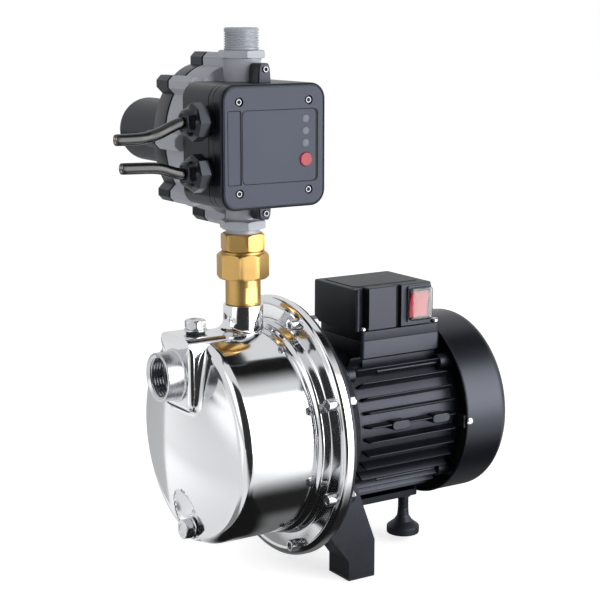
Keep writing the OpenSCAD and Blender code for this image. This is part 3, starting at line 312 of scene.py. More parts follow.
def on_axis(axis, origin, along, radius, turn):
    """A point at a turn and radius round an axis through origin."""
    x, y, z = origin
    if axis == "X":
        return (x + along, y - radius * math.sin(turn), z + radius * math.cos(turn))
    if axis == "Y":
        return (x + radius * math.sin(turn), y + along, z + radius * math.cos(turn))
    return (x + radius * math.cos(turn), y + radius * math.sin(turn), z + along)


def turned(name, rows, axis, origin, material, sides=96, phase=0.0, ring=False, **more):
    """A turned, hexagonal or threaded piece. Each row is (along, radius), and a radius may be a function
    of the turn. A ring closes its last row on its first; any other piece is closed at its ends."""
    points, faces, starts = [], [], []
    for along, radius in rows:
        starts.append(len(points))
        if radius == 0:
            points.append(on_axis(axis, origin, along, 0, 0))
            continue
        for k in range(sides):
            turn = phase + 2 * math.pi * k / sides
            r = radius(turn - phase) if callable(radius) else radius
            points.append(on_axis(axis, origin, along, r, turn))
    pairs = list(zip(range(len(rows)), range(1, len(rows)))) + ([(len(rows) - 1, 0)] if ring else [])
    for i, j in pairs:
        a, b = starts[i], starts[j]
        for k in range(sides):
            n = (k + 1) % sides
            if rows[i][1] == 0:
                faces.append([a, b + k, b + n])
            elif rows[j][1] == 0:
                faces.append([a + k, b, a + n])
            else:
                faces.append([a + k, b + k, b + n, a + n])
    if not ring:
        if rows[0][1] != 0:
            faces.append(list(range(starts[0], starts[0] + sides))[::-1])
        if rows[-1][1] != 0:
            faces.append(list(range(starts[-1], starts[-1] + sides)))
    return new_piece(name, points, outward(points, faces), material, **more)


# Polishing marks and the slow waves that drawing leaves in sheet steel
polish, polish_in, polish_out = new_group(
    "polished_sheet", [("Wave Scale", "Float", 22.0), ("Wave", "Float", 1.0), ("Mark Scale", "Float", 1.0),
                       ("Roughness", "Float", 0.08), ("Smear", "Float", 0.1)],
    [("Height", "Float"), ("Roughness", "Float")])
place = polish.nodes.new("ShaderNodeTexCoord").outputs["Object"]
wave = polish.nodes.new("ShaderNodeTexNoise")
wave.inputs["Detail"].default_value = 1
polish.links.new(place, wave.inputs["Vector"])
polish.links.new(polish_in.outputs["Wave Scale"], wave.inputs["Scale"])
stretch = polish.nodes.new("ShaderNodeVectorMath")
stretch.operation = "MULTIPLY"
stretch.inputs[1].default_value = (2600, 160, 160)
polish.links.new(place, stretch.inputs[0])
marks = polish.nodes.new("ShaderNodeTexNoise")
marks.inputs["Detail"].default_value = 3
polish.links.new(stretch.outputs[0], marks.inputs["Vector"])
polish.links.new(polish_in.outputs["Mark Scale"], marks.inputs["Scale"])
smear = polish.nodes.new("ShaderNodeTexNoise")
smear.inputs["Scale"].default_value = 55
smear.inputs["Detail"].default_value = 5
polish.links.new(place, smear.inputs["Vector"])
height = math_node(polish, "ADD", math_node(polish, "MULTIPLY", wave.outputs["Fac"],
                                            polish_in.outputs["Wave"]),
                   math_node(polish, "MULTIPLY", marks.outputs["Fac"], 0.02))
polish.links.new(height, polish_out.inputs["Height"])
uneven = math_node(polish, "SUBTRACT", math_node(polish, "ADD", smear.outputs["Fac"], marks.outputs["Fac"]),
                   1.0)
gloss = math_node(polish, "ADD", polish_in.outputs["Roughness"],
                  math_node(polish, "MULTIPLY", uneven, polish_in.outputs["Smear"]), clamp=True)
polish.links.new(gloss, polish_out.inputs["Roughness"])


def polished_finish(name, base, roughness, smears=0.08, waves=1.0, wave_scale=22, relief=0.12):
    material = new_finish(name, base, roughness, metallic=1.0)
    node = material.node_tree.nodes.new("ShaderNodeGroup")
    node.node_tree = polish
    for socket, value in (("Roughness", roughness), ("Smear", smears), ("Wave", waves),
                          ("Wave Scale", wave_scale)):
        node.inputs[socket].default_value = value
    shader = material.node_tree.nodes["Principled BSDF"]
    link(material, node.outputs["Roughness"], shader.inputs["Roughness"])
    add_bump(material, node.outputs["Height"], 0.6, relief)
    return material


mirror_steel = polished_finish("mirror_steel", (0.80, 0.81, 0.83), 0.09)
dome_turn = math.degrees(math.asin((drum_r - edge_r) / dome_sr))
neck_r = drum_r + 2
skin = arc(apex_x + dome_sr, 0, dome_sr, 180, 180 - dome_turn, 34)
skin = [(a, abs(r)) for a, r in skin]
skin += arc(edge_x + edge_r, drum_r - edge_r, edge_r, 176, 90, 12)
skin += [(edge_x + edge_r + (bead_x - 4 - edge_x - edge_r) * k / 8, drum_r) for k in range(1, 9)]
skin += [(bead_x - 2.2, drum_r - 0.2), (bead_x - 1.2, drum_r - 1.0), (bead_x - 0.3, drum_r - bead_depth),
         (bead_x + 0.6, drum_r - 1.0), (bead_x + 1.5, drum_r + 0.9), (bead_x + 2.4, neck_r),
         (bead_x + 3.6, neck_r + 0.1)]
skin += [(flange_x - 1.8, neck_r + 0.3)] + arc(flange_x - 1.6, neck_r + 1.9, 1.6, 290, 350, 4)
skin += [(flange_x, neck_r + 2.4), (flange_x, flange_r - 7), (flange_x - 0.25, flange_r - 6.2),
         (flange_x - 0.7, flange_r - 5.6), (flange_x - 0.75, flange_r - 5), (flange_x - 0.2, flange_r - 4)]
skin += arc(flange_x + 3.2, flange_r - 3.2, 3.2, 165, 90, 6)
skin += [(casing_high.x, flange_r)]
skin[0] = (apex_x, 0)
front_r = [r for a, r in skin if r <= drum_r and a <= edge_x + edge_r + 0.01]
front_x = [a for a, r in skin if r <= drum_r and a <= edge_x + edge_r + 0.01]


def front_surface(y, z):
    """X of the domed front and its rolled edge at a place, z from the shaft."""
    return float(np.interp(math.hypot(y, z), front_r, front_x))


suction_low, suction_high = node_box("suction_socket")
suction_z = (suction_low.z + suction_high.z) / 2 - shaft_z
boss_hw = 23
boss_top = drum_r + 0.5
boss_low = suction_z - 25.75
boss_x = casing_low.x
dish_y, dish_z, dish_sr, dish_off = 7, -65, 30, 22
dish_x = apex_x + dish_z ** 2 / (2 * dome_sr) - dish_off
riser_low, riser_high = node_box("discharge_riser")
pipe_x = (riser_low.x + riser_high.x) / 2
riser_r = 15.5
plug_low, plug_high = node_box("priming_plug")
prime_x = (plug_low.x + plug_high.x) / 2
bolt_count = 8
bolt_r = drum_r + 13
riser_hole_r, priming_hole_r = 12.8, 4


def bowl(y, z):
    """X of the drain dish's round floor."""
    away = (y - dish_y) ** 2 + (z - dish_z) ** 2
    return dish_x + math.sqrt(max(dish_sr ** 2 - away, 0.0))


def opening(x, y, z):
    """True where the pot is pierced or pressed in."""
    if z > 0 and x > edge_x + 12:
        if math.hypot(x - pipe_x, y) < riser_hole_r or math.hypot(x - prime_x, y) < priming_hole_r:
            return True
    if x < edge_x + 6:
        if abs(y) < boss_hw - 5 and boss_low + 5 < z < drum_r - 8:
            return True
        if bowl(y, z) > front_surface(y, z) + 0.5:
            return True
    return False


around_count = 288
inner = []
for i, (a, r) in enumerate(skin):
    before, after = Vector(skin[max(i - 1, 0)]), Vector(skin[min(i + 1, len(skin) - 1)])
    along = (after - before).normalized()
    inner.append((a + along.y * sheet, max(r - along.x * sheet, 0)))
inner[0] = (apex_x + sheet, 0)
points, faces = [], []
for layer in (skin, inner):
    points.append((layer[0][0], 0, shaft_z))
    for a, r in layer[1:]:
        points += [on_axis("X", (0, 0, shaft_z), a, r, 2 * math.pi * k / around_count)
                   for k in range(around_count)]
per_layer = len(points) // 2


def skin_index(i, k):
    return 0 if i == 0 else 1 + (i - 1) * around_count + k % around_count


kept = set()
for i in range(len(skin) - 1):
    for k in range(around_count):
        corners = [skin_index(i, k), skin_index(i + 1, k), skin_index(i + 1, k + 1), skin_index(i, k + 1)]
        middle = sum((Vector(points[c]) for c in corners), Vector()) / 4
        if not opening(middle.x, middle.y, middle.z - shaft_z):
            kept.add((i, k))
for i, k in kept:
    corners = [skin_index(i, k), skin_index(i + 1, k), skin_index(i + 1, k + 1), skin_index(i, k + 1)]
    if i == 0:
        corners = corners[:3]
    faces.append(corners)
    faces.append([c + per_layer for c in corners[::-1]])
    sides = [((i, k - 1), (corners[1], corners[0])), ((i, k + 1), (corners[-1], corners[-2])),
             ((i + 1, k), (corners[-2], corners[1]))]
    if i:
        sides.append(((i - 1, k), (corners[0], corners[-1])))
    for (ni, nk), (p, q) in sides:
        if (ni, nk % around_count) not in kept:
            faces.append([p, q, q + per_layer, p + per_layer])
casing = new_piece("casing_pot", points, faces, mirror_steel, stands_for=["pump_casing"], sharp=50)
mesh = bmesh.new()
mesh.from_mesh(casing.data)
bmesh.ops.recalc_face_normals(mesh, faces=mesh.faces)
mesh.to_mesh(casing.data)
mesh.free()

# Boss: the flat-faced step pressed into the front for the suction port. It blends into the dome with a
# small fillet, runs out over the top of the drum and carries the socket and the priming plug.


def rounded_outline(width, height, radius, corner=8, side=10):
    """Points and outward normals of a rounded rectangle round (0, 0)."""
    out = []
    centres = [(1, 1, 0), (-1, 1, 90), (-1, -1, 180), (1, -1, 270)]
    for n, (sx, sy, start) in enumerate(centres):
        cx, cy = sx * (width / 2 - radius), sy * (height / 2 - radius)
        for i in range(corner + 1):
            t = math.radians(start + 90 * i / corner)
            out.append((cx + radius * math.cos(t), cy + radius * math.sin(t), math.cos(t), math.sin(t)))
        nx, ny, nstart = centres[(n + 1) % 4]
        t = math.radians(nstart)
        a = np.array(out[-1][:2])
        b = np.array((nx * (width / 2 - radius) + radius * math.cos(t),
                      ny * (height / 2 - radius) + radius * math.sin(t)))
        for i in range(1, side):
            q = a + (b - a) * i / side
            out.append((q[0], q[1], math.cos(t), math.sin(t)))
    return out


def lofted(name, rings, material, loop=False, **more):
    """A closed piece through rings of equally many points; a loop joins the last ring to the first."""
    count = len(rings[0])
    points = [q for ring in rings for q in ring]
    faces = []
    for i in range(len(rings) - (0 if loop else 1)):
        a, b = i * count, ((i + 1) % len(rings)) * count
        faces += [[a + k, b + k, b + (k + 1) % count, a + (k + 1) % count] for k in range(count)]
    if not loop:
        faces += [list(range(count))[::-1], list(range(len(points) - count, len(points)))]
    return new_piece(name, points, outward(points, faces), material, **more)


boss_round, boss_fillet, boss_edge = 7, 4.5, 4.5
boss_mid = (boss_top + boss_low) / 2
outline = rounded_outline(2 * boss_hw, boss_top - boss_low, boss_round, corner=10, side=14)
port_r = suction_high.y - 0.4
port_bore = 15.8


def boss_ring(offset, height_of):
    """A ring round the boss at an offset outwards; height_of gives X from the surface under a point."""
    ring = []
    for y, z, ny, nz in outline:
        reach = math.hypot(y, z + boss_mid)
        share = min(max((drum_r - 2 - reach) / 8, 0.04), 1.0)
        py, pz = y + ny * offset * share, z + nz * offset * share + boss_mid
        base = front_surface(py, pz) if math.hypot(py, pz) < drum_r - 0.3 else edge_x + 20
        ring.append((height_of(base, share), py, pz + shaft_z))
    return ring


rings = []
for i in range(8):
    t = math.radians(90 - 90 * i / 7)
    rings.append(boss_ring(boss_fillet * (1 - math.cos(t)),
                           lambda base, share, t=t: base - boss_fillet * share * (1 - math.sin(t)) - 0.04))
for i in range(9):
    t = math.radians(90 * i / 8)
    rings.append(boss_ring(-boss_edge * (1 - math.cos(t)),
                           lambda base, share, t=t: boss_x + boss_edge * (1 - math.sin(t))))


def port_ring(radius, x):
    ring = []
    for y, z, ny, nz in outline:
        turn = math.atan2(z + boss_mid - suction_z, y)
        ring.append((x, radius * math.cos(turn), suction_z + shaft_z + radius * math.sin(turn)))
    return ring


flat = rings[-1]
rings.append(port_ring(port_r, boss_x))
rings.append(port_ring(port_bore, boss_x))
rings.append(port_ring(port_bore, boss_x + sheet))
rings.append([(boss_x + sheet, q[1] * 0.9, (q[2] - shaft_z - boss_mid) * 0.9 + shaft_z + boss_mid)
              for q in flat])
rings.append([(min(q[0] + 1.5, edge_x + 18), q[1] * 0.88,
               (q[2] - shaft_z - boss_mid) * 0.88 + shaft_z + boss_mid)
              for q in rings[0]])
lofted("casing_boss", rings, mirror_steel, loop=True, sharp=50)

# Drain dish: a round hollow pressed into the low front edge, with a flat seat for the drain plug, so
# that the plug stays behind the front.
plug_low, plug_high = node_box("drain_plug")
drain_z = (plug_low.z + plug_high.z) / 2 - shaft_z
seat_x = plug_high.x - 8
dish_rings = []
steps, sides = 30, 96
dish_reach = 23.5
pad_r, pad_blend = 9.5, 4.5
for i in range(steps + 1):
    ring = []
    for k in range(sides):
        turn = 2 * math.pi * k / sides
        reach = dish_reach
        while math.hypot(dish_y + reach * math.cos(turn), dish_z + reach * math.sin(turn)) > drum_r - 0.6:
            reach -= 0.1
        far = reach * max(1 - i / steps, 0.001)
        y, z = dish_y + far * math.cos(turn), dish_z + far * math.sin(turn)
        a, b = front_surface(y, z), bowl(y, z)
        blend = math.hypot(a - b, 1.3)
        x = (a + b + blend) / 2
        away = math.hypot(y, z - drain_z)
        pad = min(max((away - pad_r) / pad_blend, 0), 1)
        pad = pad * pad * (3 - 2 * pad)
        x = min(x, (seat_x - 0.1) * (1 - pad) + x * pad)
        ring.append((x - 0.06, y, z + shaft_z))
    dish_rings.append(ring)
back_rings = [[(x + 1.2, y * 0.998, z) for x, y, z in ring] for ring in dish_rings[::-1]]
lofted("casing_dish", dish_rings + back_rings, mirror_steel, loop=True, sharp=60)

# Suction socket: a short turned tube with a pipe thread inside, welded to the boss on a small bead. It is
# stainless like the casing, but dull from turning.
turned_steel = polished_finish("turned_steel", (0.62, 0.63, 0.66), 0.28, smears=0.16, waves=0)
socket_pitch = 2.309
socket_r = (suction_high.y - suction_low.y) / 2 - 1.6
socket_crest = socket_r - 3.6


def flats(across, count=6, limit=1e3):
    """Radius to a nut's flats at a turn, no more than a limit."""
    def radius(turn):
        away = (turn + math.pi / count) % (2 * math.pi / count) - math.pi / count
        return min(across / 2 / math.cos(away), limit)
    return radius


def nut_rows(start, end, across, count=6, chamfer=1.4):
    """Rows of a nut from one face to the other, its corners turned off at both."""
    corner = across / 2 / math.cos(math.pi / count)
    face = across / 2 - 0.3
    step = math.copysign(chamfer, end - start)
    ramp = [(t, flats(across, count, face + (corner - face) * t)) for t in (0, 0.3, 0.6, 1)]
    return [(start + step * t, r) for t, r in ramp] + [(end - step * t, r) for t, r in ramp[::-1]]


def thread_rows(start, end, crest, depth, pitch, steps=8):
    """Rows of a V thread. A negative depth cuts outwards from the crest, as inside a nut."""
    count = round(abs(end - start) / pitch * steps)
    rows = []
    for i in range(count + 1):
        along = start + (end - start) * i / count
        fade = min(1.0, i / steps, (count - i) / steps)

        def radius(turn, along=along, fade=fade):
            level = 0.5 + 0.8 * math.cos(2 * math.pi * along / pitch - turn)
            return crest - depth * fade * (1 - min(max(level, 0), 1))
        rows.append((along, radius))
    return rows


rim_x = suction_low.x
rows = arc(boss_x - 0.3, socket_r + 0.3, 1.3, 40, 180, 7)
rows += [(boss_x - 1.9, socket_r), (rim_x + 0.8, socket_r)]
rows += arc(rim_x + 0.8, socket_r - 0.8, 0.8, 80, 180, 4)
rows += [(rim_x, socket_crest + 1.7), (rim_x + 1.3, socket_crest + 0.3)]
rows += thread_rows(rim_x + 1.5, boss_x - 0.8, socket_crest, -1.3, socket_pitch)
rows += [(boss_x + 1.6, socket_crest)]
turned("suction_pipe", rows, "X", (0, 0, shaft_z + suction_z), turned_steel, ring=True, sharp=40,
       stands_for=["suction_socket"])

# Discharge riser: a tube that stands in a collar drawn up out of the drum. The collar sweeps wide to the
# front, like an elbow, and is short at the sides and behind.
riser_bore = riser_r - 2
riser_sides = 96
riser_top = riser_high.z


def riser_ring(place):
    """A ring round the riser; place gives radius and height at a turn."""
    ring = []
    for k in range(riser_sides):
        turn = 2 * math.pi * k / riser_sides
        r, z = place(turn)
        ring.append((pipe_x + r * math.cos(turn), r * math.sin(turn), z))
    return ring


def drum_top(turn, r):
    return shaft_z + math.sqrt(drum_r ** 2 - (r * math.sin(turn)) ** 2)


def collar(t):
    """Place on the drawn collar, from the tube at 0 to the drum at 1."""
    def place(turn):
        reach = 1 + 13 * max(0.0, -math.cos(turn)) ** 1.5
        foot = drum_top(turn, riser_r)
        r = riser_r + reach * t * t
        drum_z = drum_top(turn, riser_r + reach) + 0.05
        z = (foot + 0.7 * reach) * (1 - t) ** 2 + 2 * foot * t * (1 - t) + drum_z * t * t
        return r, z
    return place


rings = [riser_ring(lambda turn, r=r, z=z: (r, z))
         for r, z in [(riser_bore, riser_top - 0.5), (riser_bore + 0.5, riser_top),
                      (riser_r - 0.4, riser_top),
                      (riser_r, riser_top - 0.4)]]
rings += [riser_ring(collar(t / 10)) for t in range(11)]
rings += [riser_ring(lambda turn: (riser_r, drum_top(turn, riser_r) - 2.5)),
          riser_ring(lambda turn: (riser_bore, drum_top(turn, riser_bore) - 2.5))]
lofted("riser_tube", rings, mirror_steel, loop=True, sharp=50, stands_for=["discharge_riser"])

# Priming and drain plugs: zinc-plated hexagon plugs with a washer face, each on a black rubber ring.
zinc_steel = polished_finish("zinc_steel", (0.66, 0.67, 0.69), 0.24, smears=0.2, waves=0.3, wave_scale=90,
                             relief=0.05)
black_rubber = grained_finish("black_rubber", (0.018, 0.018, 0.02), 0.5, relief=0.02)
plug_across = 15


def plug(name, axis, origin, side, reach, turn):
    """A plug whose face is at origin; side is the way that its head looks."""
    rows = [(-reach, 0), (-reach, 4), (1 - reach, 5), (0, 5), (0, 8.5), (0.4, 9), (1, 9), (1.4, 8.6),
            (1.4, 7.6)]
    rows += nut_rows(1.6, 8.4, plug_across, 6, 1.3) + [(8.4, 4.6), (8, 4.2), (8, 0)]
    turned(name + "_body", [(side * a, r) for a, r in rows], axis, origin, zinc_steel,
           phase=math.radians(turn),
           stands_for=[name])


def rubber_ring(name, axis, origin, side, thick, inner_r, outer_r):
    mid, half = (inner_r + outer_r) / 2, (outer_r - inner_r) / 2
    rows = [(side * thick * (0.5 + 0.5 * math.cos(math.radians(a))), mid + half * math.sin(math.radians(a)))
            for a in range(0, 360, 24)]
    turned(name + "_ring", rows, axis, origin, black_rubber, ring=True, stands_for=[name])


prime_face = node_box("priming_plug")[1].z - 8.5
plug("priming_plug", "Z", (prime_x, 0, prime_face), 1, 9, 42)
rubber_ring("priming_seal", "Z", (prime_x, 0, prime_face), -1, 2, 5, 7.5)
plug("drain_plug", "X", (seat_x - 1.6, 0, shaft_z + drain_z), -1, 9.4, 40)
rubber_ring("drain_seal", "X", (seat_x, 0, shaft_z + drain_z), -1, 1.6, 5, 7.5)

# Flange bolts and nuts: eight zinc-plated socket screws through flange and bracket, with washers and nuts
# behind. A node tree repeats one of each round the shaft.
bolt_low, bolt_high = node_box("flange_bolts")
nut_low, nut_high = node_box("flange_nuts")
bolt_d = 6
bolt_phase = 22.5
ring_tree, ring_in, ring_out = new_group(
    "ring_of_copies",
    [("Geometry", "Geometry", None), ("Count", "Int", 8), ("Phase", "Float", 0.0), ("Gap", "Float", 0.0),
     ("Axis", "Vector", None), ("Centre", "Vector", None), ("Material", "Material", None)],
    [("Geometry", "Geometry")], kind="GeometryNodeTree")
index = ring_tree.nodes.new("GeometryNodeInputIndex").outputs["Index"]
step = math_node(ring_tree, "DIVIDE", 2 * math.pi, ring_in.outputs["Count"])
angle = math_node(ring_tree, "ADD", math_node(ring_tree, "MULTIPLY", index, step), ring_in.outputs["Phase"])
near_top = math_node(ring_tree, "GREATER_THAN", math_node(ring_tree, "COSINE", angle),
                     math_node(ring_tree, "COSINE", ring_in.outputs["Gap"]))
spin = ring_tree.nodes.new("ShaderNodeVectorMath")
spin.operation = "SCALE"
ring_tree.links.new(ring_in.outputs["Axis"], spin.inputs[0])
ring_tree.links.new(angle, spin.inputs["Scale"])
spots = ring_tree.nodes.new("GeometryNodePoints")
ring_tree.links.new(ring_in.outputs["Count"], spots.inputs["Count"])
ring_tree.links.new(ring_in.outputs["Centre"], spots.inputs["Position"])
copies = ring_tree.nodes.new("GeometryNodeInstanceOnPoints")
ring_tree.links.new(spots.outputs[0], copies.inputs["Points"])
ring_tree.links.new(ring_in.outputs["Geometry"], copies.inputs["Instance"])
ring_tree.links.new(spin.outputs[0], copies.inputs["Rotation"])
thinned = ring_tree.nodes.new("GeometryNodeDeleteGeometry")
thinned.domain = "INSTANCE"
ring_tree.links.new(copies.outputs[0], thinned.inputs["Geometry"])
ring_tree.links.new(near_top, thinned.inputs["Selection"])
solid = ring_tree.nodes.new("GeometryNodeRealizeInstances")
ring_tree.links.new(thinned.outputs[0], solid.inputs[0])
painted = ring_tree.nodes.new("GeometryNodeSetMaterial")
ring_tree.links.new(solid.outputs[0], painted.inputs["Geometry"])
ring_tree.links.new(ring_in.outputs["Material"], painted.inputs["Material"])
ring_tree.links.new(painted.outputs[0], ring_out.inputs["Geometry"])


def ring_of(piece, count, axis, centre, phase=0.0, gap=0.0, stands_for=()):
    """Repeats a piece, made at the top of the ring round (0, 0, 0), and keeps the result as its mesh."""
    modifier = piece.modifiers.new("ring", "NODES")
    modifier.node_group = ring_tree
    values = {"Count": count, "Phase": math.radians(phase), "Gap": math.radians(gap), "Axis": axis,
              "Centre": [c * MM for c in centre], "Material": piece.data.materials[0]}
    for item in ring_tree.interface.items_tree:
        if item.in_out == "INPUT" and item.name in values:
            modifier[item.identifier] = values[item.name]
    graph = bpy.context.evaluated_depsgraph_get()
    mesh = bpy.data.meshes.new_from_object(piece.evaluated_get(graph))
    piece.modifiers.remove(modifier)
    piece.data = mesh
    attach(piece, "base")
    if stands_for:
        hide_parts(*stands_for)


along_shaft = (1, 0, 0)
shaft_centre = (0, 0, shaft_z)
socket_hex = flats(bolt_d * 0.8)
head_r = bolt_d * 0.8
head_x = bolt_low.x
rows = [(head_x + 3.6, 0), (head_x + 3.4, socket_hex), (head_x + 0.3, socket_hex),
        (head_x, flats(bolt_d * 0.8 + 0.5)),
        (head_x, head_r - 0.5), (head_x + 0.5, head_r), (flange_x, head_r), (flange_x, bolt_d / 2),
        (bolt_high.x - 0.8, bolt_d / 2), (bolt_high.x, bolt_d / 2 - 0.7), (bolt_high.x, 0)]
bolt = turned("flange_screws", rows, "X", (0, 0, bolt_r), zinc_steel, sides=48, phase=0.3, body=None)
ring_of(bolt, bolt_count, along_shaft, shaft_centre, phase=bolt_phase, stands_for=["flange_bolts"])
nut_steel = polished_finish("nut_steel", (0.2, 0.2, 0.22), 0.35, smears=0.2, waves=0.3, wave_scale=90,
                            relief=0.05)
rows = [(nut_low.x, bolt_d), (nut_low.x + 0.9, bolt_d), (nut_low.x + 1, bolt_d - 0.2)]
rows += nut_rows(nut_low.x + 1, nut_high.x, bolt_d * 1.6, 6, 0.7)
rows += [(nut_high.x, bolt_d / 2 + 0.02), (nut_low.x, bolt_d / 2 + 0.02)]
nut = turned("flange_back_nuts", rows, "X", (0, 0, bolt_r), nut_steel, sides=48, ring=True, body=None)
ring_of(nut, bolt_count, along_shaft, shaft_centre, phase=bolt_phase, stands_for=["flange_nuts"])

# Union: a pressed brass tail with two spanner flats, an eight-sided nut and a hexagon head, all with the
# matt sandblasted skin of a forging. The nut turns on the tail's collar.
union_brass = grained_finish("union_brass", (0.58, 0.37, 0.13), 0.38, metallic=1.0, tint=0.25, clouds=60,
                             grains=1400,
                             spread=0.2, relief=0.05, strength=0.6)
tail_low, tail_high = node_box("union_tail")
nut_bottom, nut_top = (corner.z for corner in node_box("union_nut"))
union_low, union_high = node_box("union_head")
pipe_thread_r = 13.22
tail_r = pipe_thread_r + 0.4
water_r = 9
collar_r = 15
nut_bore, neck_bore = 16.65, 16.6
nut_across = 37.5
head_across = 30.5
head_bottom = union_high.z - 14
collar_z = tail_high.z - 4.5
pipe_axis = (pipe_x, 0, 0)


def spanner_flats(turn):
    return min(tail_r, (tail_r - 0.9) / max(abs(math.sin(turn)), 1e-3))


rows = [(tail_low.z, water_r), (tail_low.z, pipe_thread_r), (riser_top, pipe_thread_r),
        (riser_top, tail_r - 0.5),
        (riser_top + 0.5, tail_r), (riser_top + 2, tail_r), (riser_top + 2.2, spanner_flats),
        (riser_top + 13.8, spanner_flats), (riser_top + 14, tail_r), (collar_z, tail_r),
        (collar_z, collar_r),
        (tail_high.z, collar_r), (tail_high.z, water_r)]
turned("union_tail_piece", rows, "Z", pipe_axis, union_brass, ring=True, stands_for=["union_tail"])
rows = nut_rows(nut_bottom, nut_top, nut_across, 8, 1.9)
rows += [(nut_top, nut_bore), (nut_bottom + 4, nut_bore), (nut_bottom + 4, tail_r + 0.3),
         (nut_bottom, tail_r + 0.3)]
turned("union_ring_nut", rows, "Z", pipe_axis, union_brass, ring=True, phase=math.radians(30.5),
       body="coupling_nut",
       stands_for=["union_nut"])
rows = [(union_low.z, water_r), (union_low.z, neck_bore), (head_bottom, neck_bore)]
rows += nut_rows(head_bottom, union_high.z, head_across, 6, 1.6)
rows += [(union_high.z, pipe_thread_r), (union_high.z - 12, pipe_thread_r), (union_high.z - 12, water_r)]
turned("union_hexagon", rows, "Z", pipe_axis, union_brass, ring=True, phase=math.radians(44),
       stands_for=["union_head"])

# Flow body: the controller's grey moulding. Its column has a pipe thread and a hexagon at each end, and an
# oval body with an eight-lugged flange stands behind it, where the rear cover is screwed on.
controller_grey = grained_finish("controller_grey", (0.47, 0.495, 0.55), 0.38, tint=0.06, clouds=30,
                                 grains=1800,
                                 relief=0.015, Coat_Weight=0.1, Coat_Roughness=0.3)
flow_low, flow_high = node_box("flow_body")
box_low, box_high = node_box("control_box")
frame_low, frame_high = node_box("front_frame")
ctrl_z = (frame_low.z + frame_high.z) / 2
ctrl_w, ctrl_h = frame_high.x - frame_low.x, frame_high.z - frame_low.z
hex_across = 31.5
neck_r = 12.5
column_thread_pitch = 1.814
nipple_z = flow_high.z - 16.6
low_hex_z = union_high.z + 3
rows = [(flow_low.z, water_r), (flow_low.z, pipe_thread_r - 0.1), (low_hex_z, pipe_thread_r - 0.1)]
rows += nut_rows(low_hex_z, low_hex_z + 7, hex_across, 6, 0.7)
rows += [(low_hex_z + 7, neck_r + 1), (low_hex_z + 8, neck_r)]
rows += [(ctrl_z + ctrl_h / 2 + 1, neck_r), (nipple_z - 7.2, neck_r + 2.4), (nipple_z - 6, neck_r + 2.6)]
rows += nut_rows(nipple_z - 6, nipple_z, hex_across, 6, 0.7)
rows += [(nipple_z, pipe_thread_r - 1)]
rows += thread_rows(nipple_z + 0.6, flow_high.z - 1.2, pipe_thread_r, 1.1, column_thread_pitch)
rows += [(flow_high.z, pipe_thread_r - 1.1), (flow_high.z, water_r + 0.5), (flow_high.z - 0.5, water_r)]
turned("flow_column", rows, "Z", pipe_axis, controller_grey, ring=True, phase=math.radians(44), sharp=40,
       stands_for=["flow_body"])
ctrl_centre = (pipe_x, 0, ctrl_z)
ring_w, ring_h = 80, 114
lug_hw, lug_out = 6.5, 2.5


def box_ring(outline, inset, y, x=pipe_x, z=ctrl_z):
    """An outline stood up facing the panel side, moved in by inset."""
    return [(x + u - nu * inset, y, z + v - nv * inset) for u, v, nu, nv in outline]


def oval(across, tall, sides=120):
    """Points and outward normals of an upright oval round (0, 0)."""
    out = []
    for k in range(sides):
        t = 2 * math.pi * k / sides
        n = Vector((math.cos(t) * tall, math.sin(t) * across)).normalized()
        out.append((across / 2 * math.cos(t), tall / 2 * math.sin(t), n.x, n.y))
    return out


def lug_places():
    """Centre (x, z) and turn of each of the eight flange lugs."""
    for i in range(8):
        t = math.pi * i / 4
        yield ring_w / 2 * math.cos(t) + lug_out * math.cos(t), (ring_h / 2 + lug_out) * math.sin(t), t


def lug_set(name, y0, y1, material):
    """The eight lugs of a flange, each a boss with two corners cut off and its edges broken."""
    for i, (cx, cz, t) in enumerate(lug_places()):
        rings = []
        for inset, y in ((0.6, y0), (0, y0 + 0.6), (0, y1 - 0.6), (0.6, y1)):
            h, f = lug_hw - inset, lug_hw * 0.414 - inset * 0.41
            corners = [(-12, -h), (f, -h), (h, -f), (h, f), (f, h), (-12, h)]
            rings.append([(pipe_x + cx + a * math.cos(t) - b * math.sin(t), y,
                           ctrl_z + cz + a * math.sin(t) + b * math.cos(t)) for a, b in corners])
        lofted(f"{name}_{i + 1}", rings, material, sharp=20)


def flat_ring(outline, inset, x, y, z):
    """An outline laid level round (x, y), moved in by inset."""
    return [(x + u - nu * inset, y + v - nv * inset, z) for u, v, nu, nv in outline]


rear_y, rear_end = 16, 48
flange_outline = oval(ring_w, ring_h)
body_outline = oval(ring_w - 20, ring_h - 20)
rings = [box_ring(body_outline, inset, y) for inset,
         y in ((1, 8), (0, 9), (0, rear_y - 1.2), (-0.6, rear_y - 0.3))]
flange_steps = [(1.2, rear_y), (0.3, rear_y + 0.3), (0, rear_y + 1.2), (0, rear_end - 0.7), (0.7, rear_end)]
rings += [box_ring(flange_outline, inset, y) for inset, y in flange_steps]
lofted("flow_chamber", rings, controller_grey)
lug_set("flow_lug", rear_y, rear_end, controller_grey)
rib_low, rib_top = ctrl_z + ctrl_h / 2 + 0.8, nipple_z - 7
for name, y0, y1 in (("flow_bridge_neck", 0, 9.2), ("flow_bridge", 9.6, rear_end - 0.6)):
    bridge = rounded_outline(2 * lug_hw + 0.5, y1 - y0, 0.6, 3, 4)
    rings = [flat_ring(bridge, inset, pipe_x, (y0 + y1) / 2, z)
             for inset, z in ((0, rib_low), (0, rib_top - 1), (0.3, rib_top - 0.3), (1, rib_top))]
    lofted(name, rings, controller_grey)
web = rounded_outline(2 * lug_hw + 0.2, rear_end - 13, 0.6, 3, 4)
rings = [flat_ring(web, 0, pipe_x, (rear_end + 12) / 2, z) for z in (ctrl_z + 40, rib_low + 2)]
lofted("flow_bridge_web", rings, controller_grey)

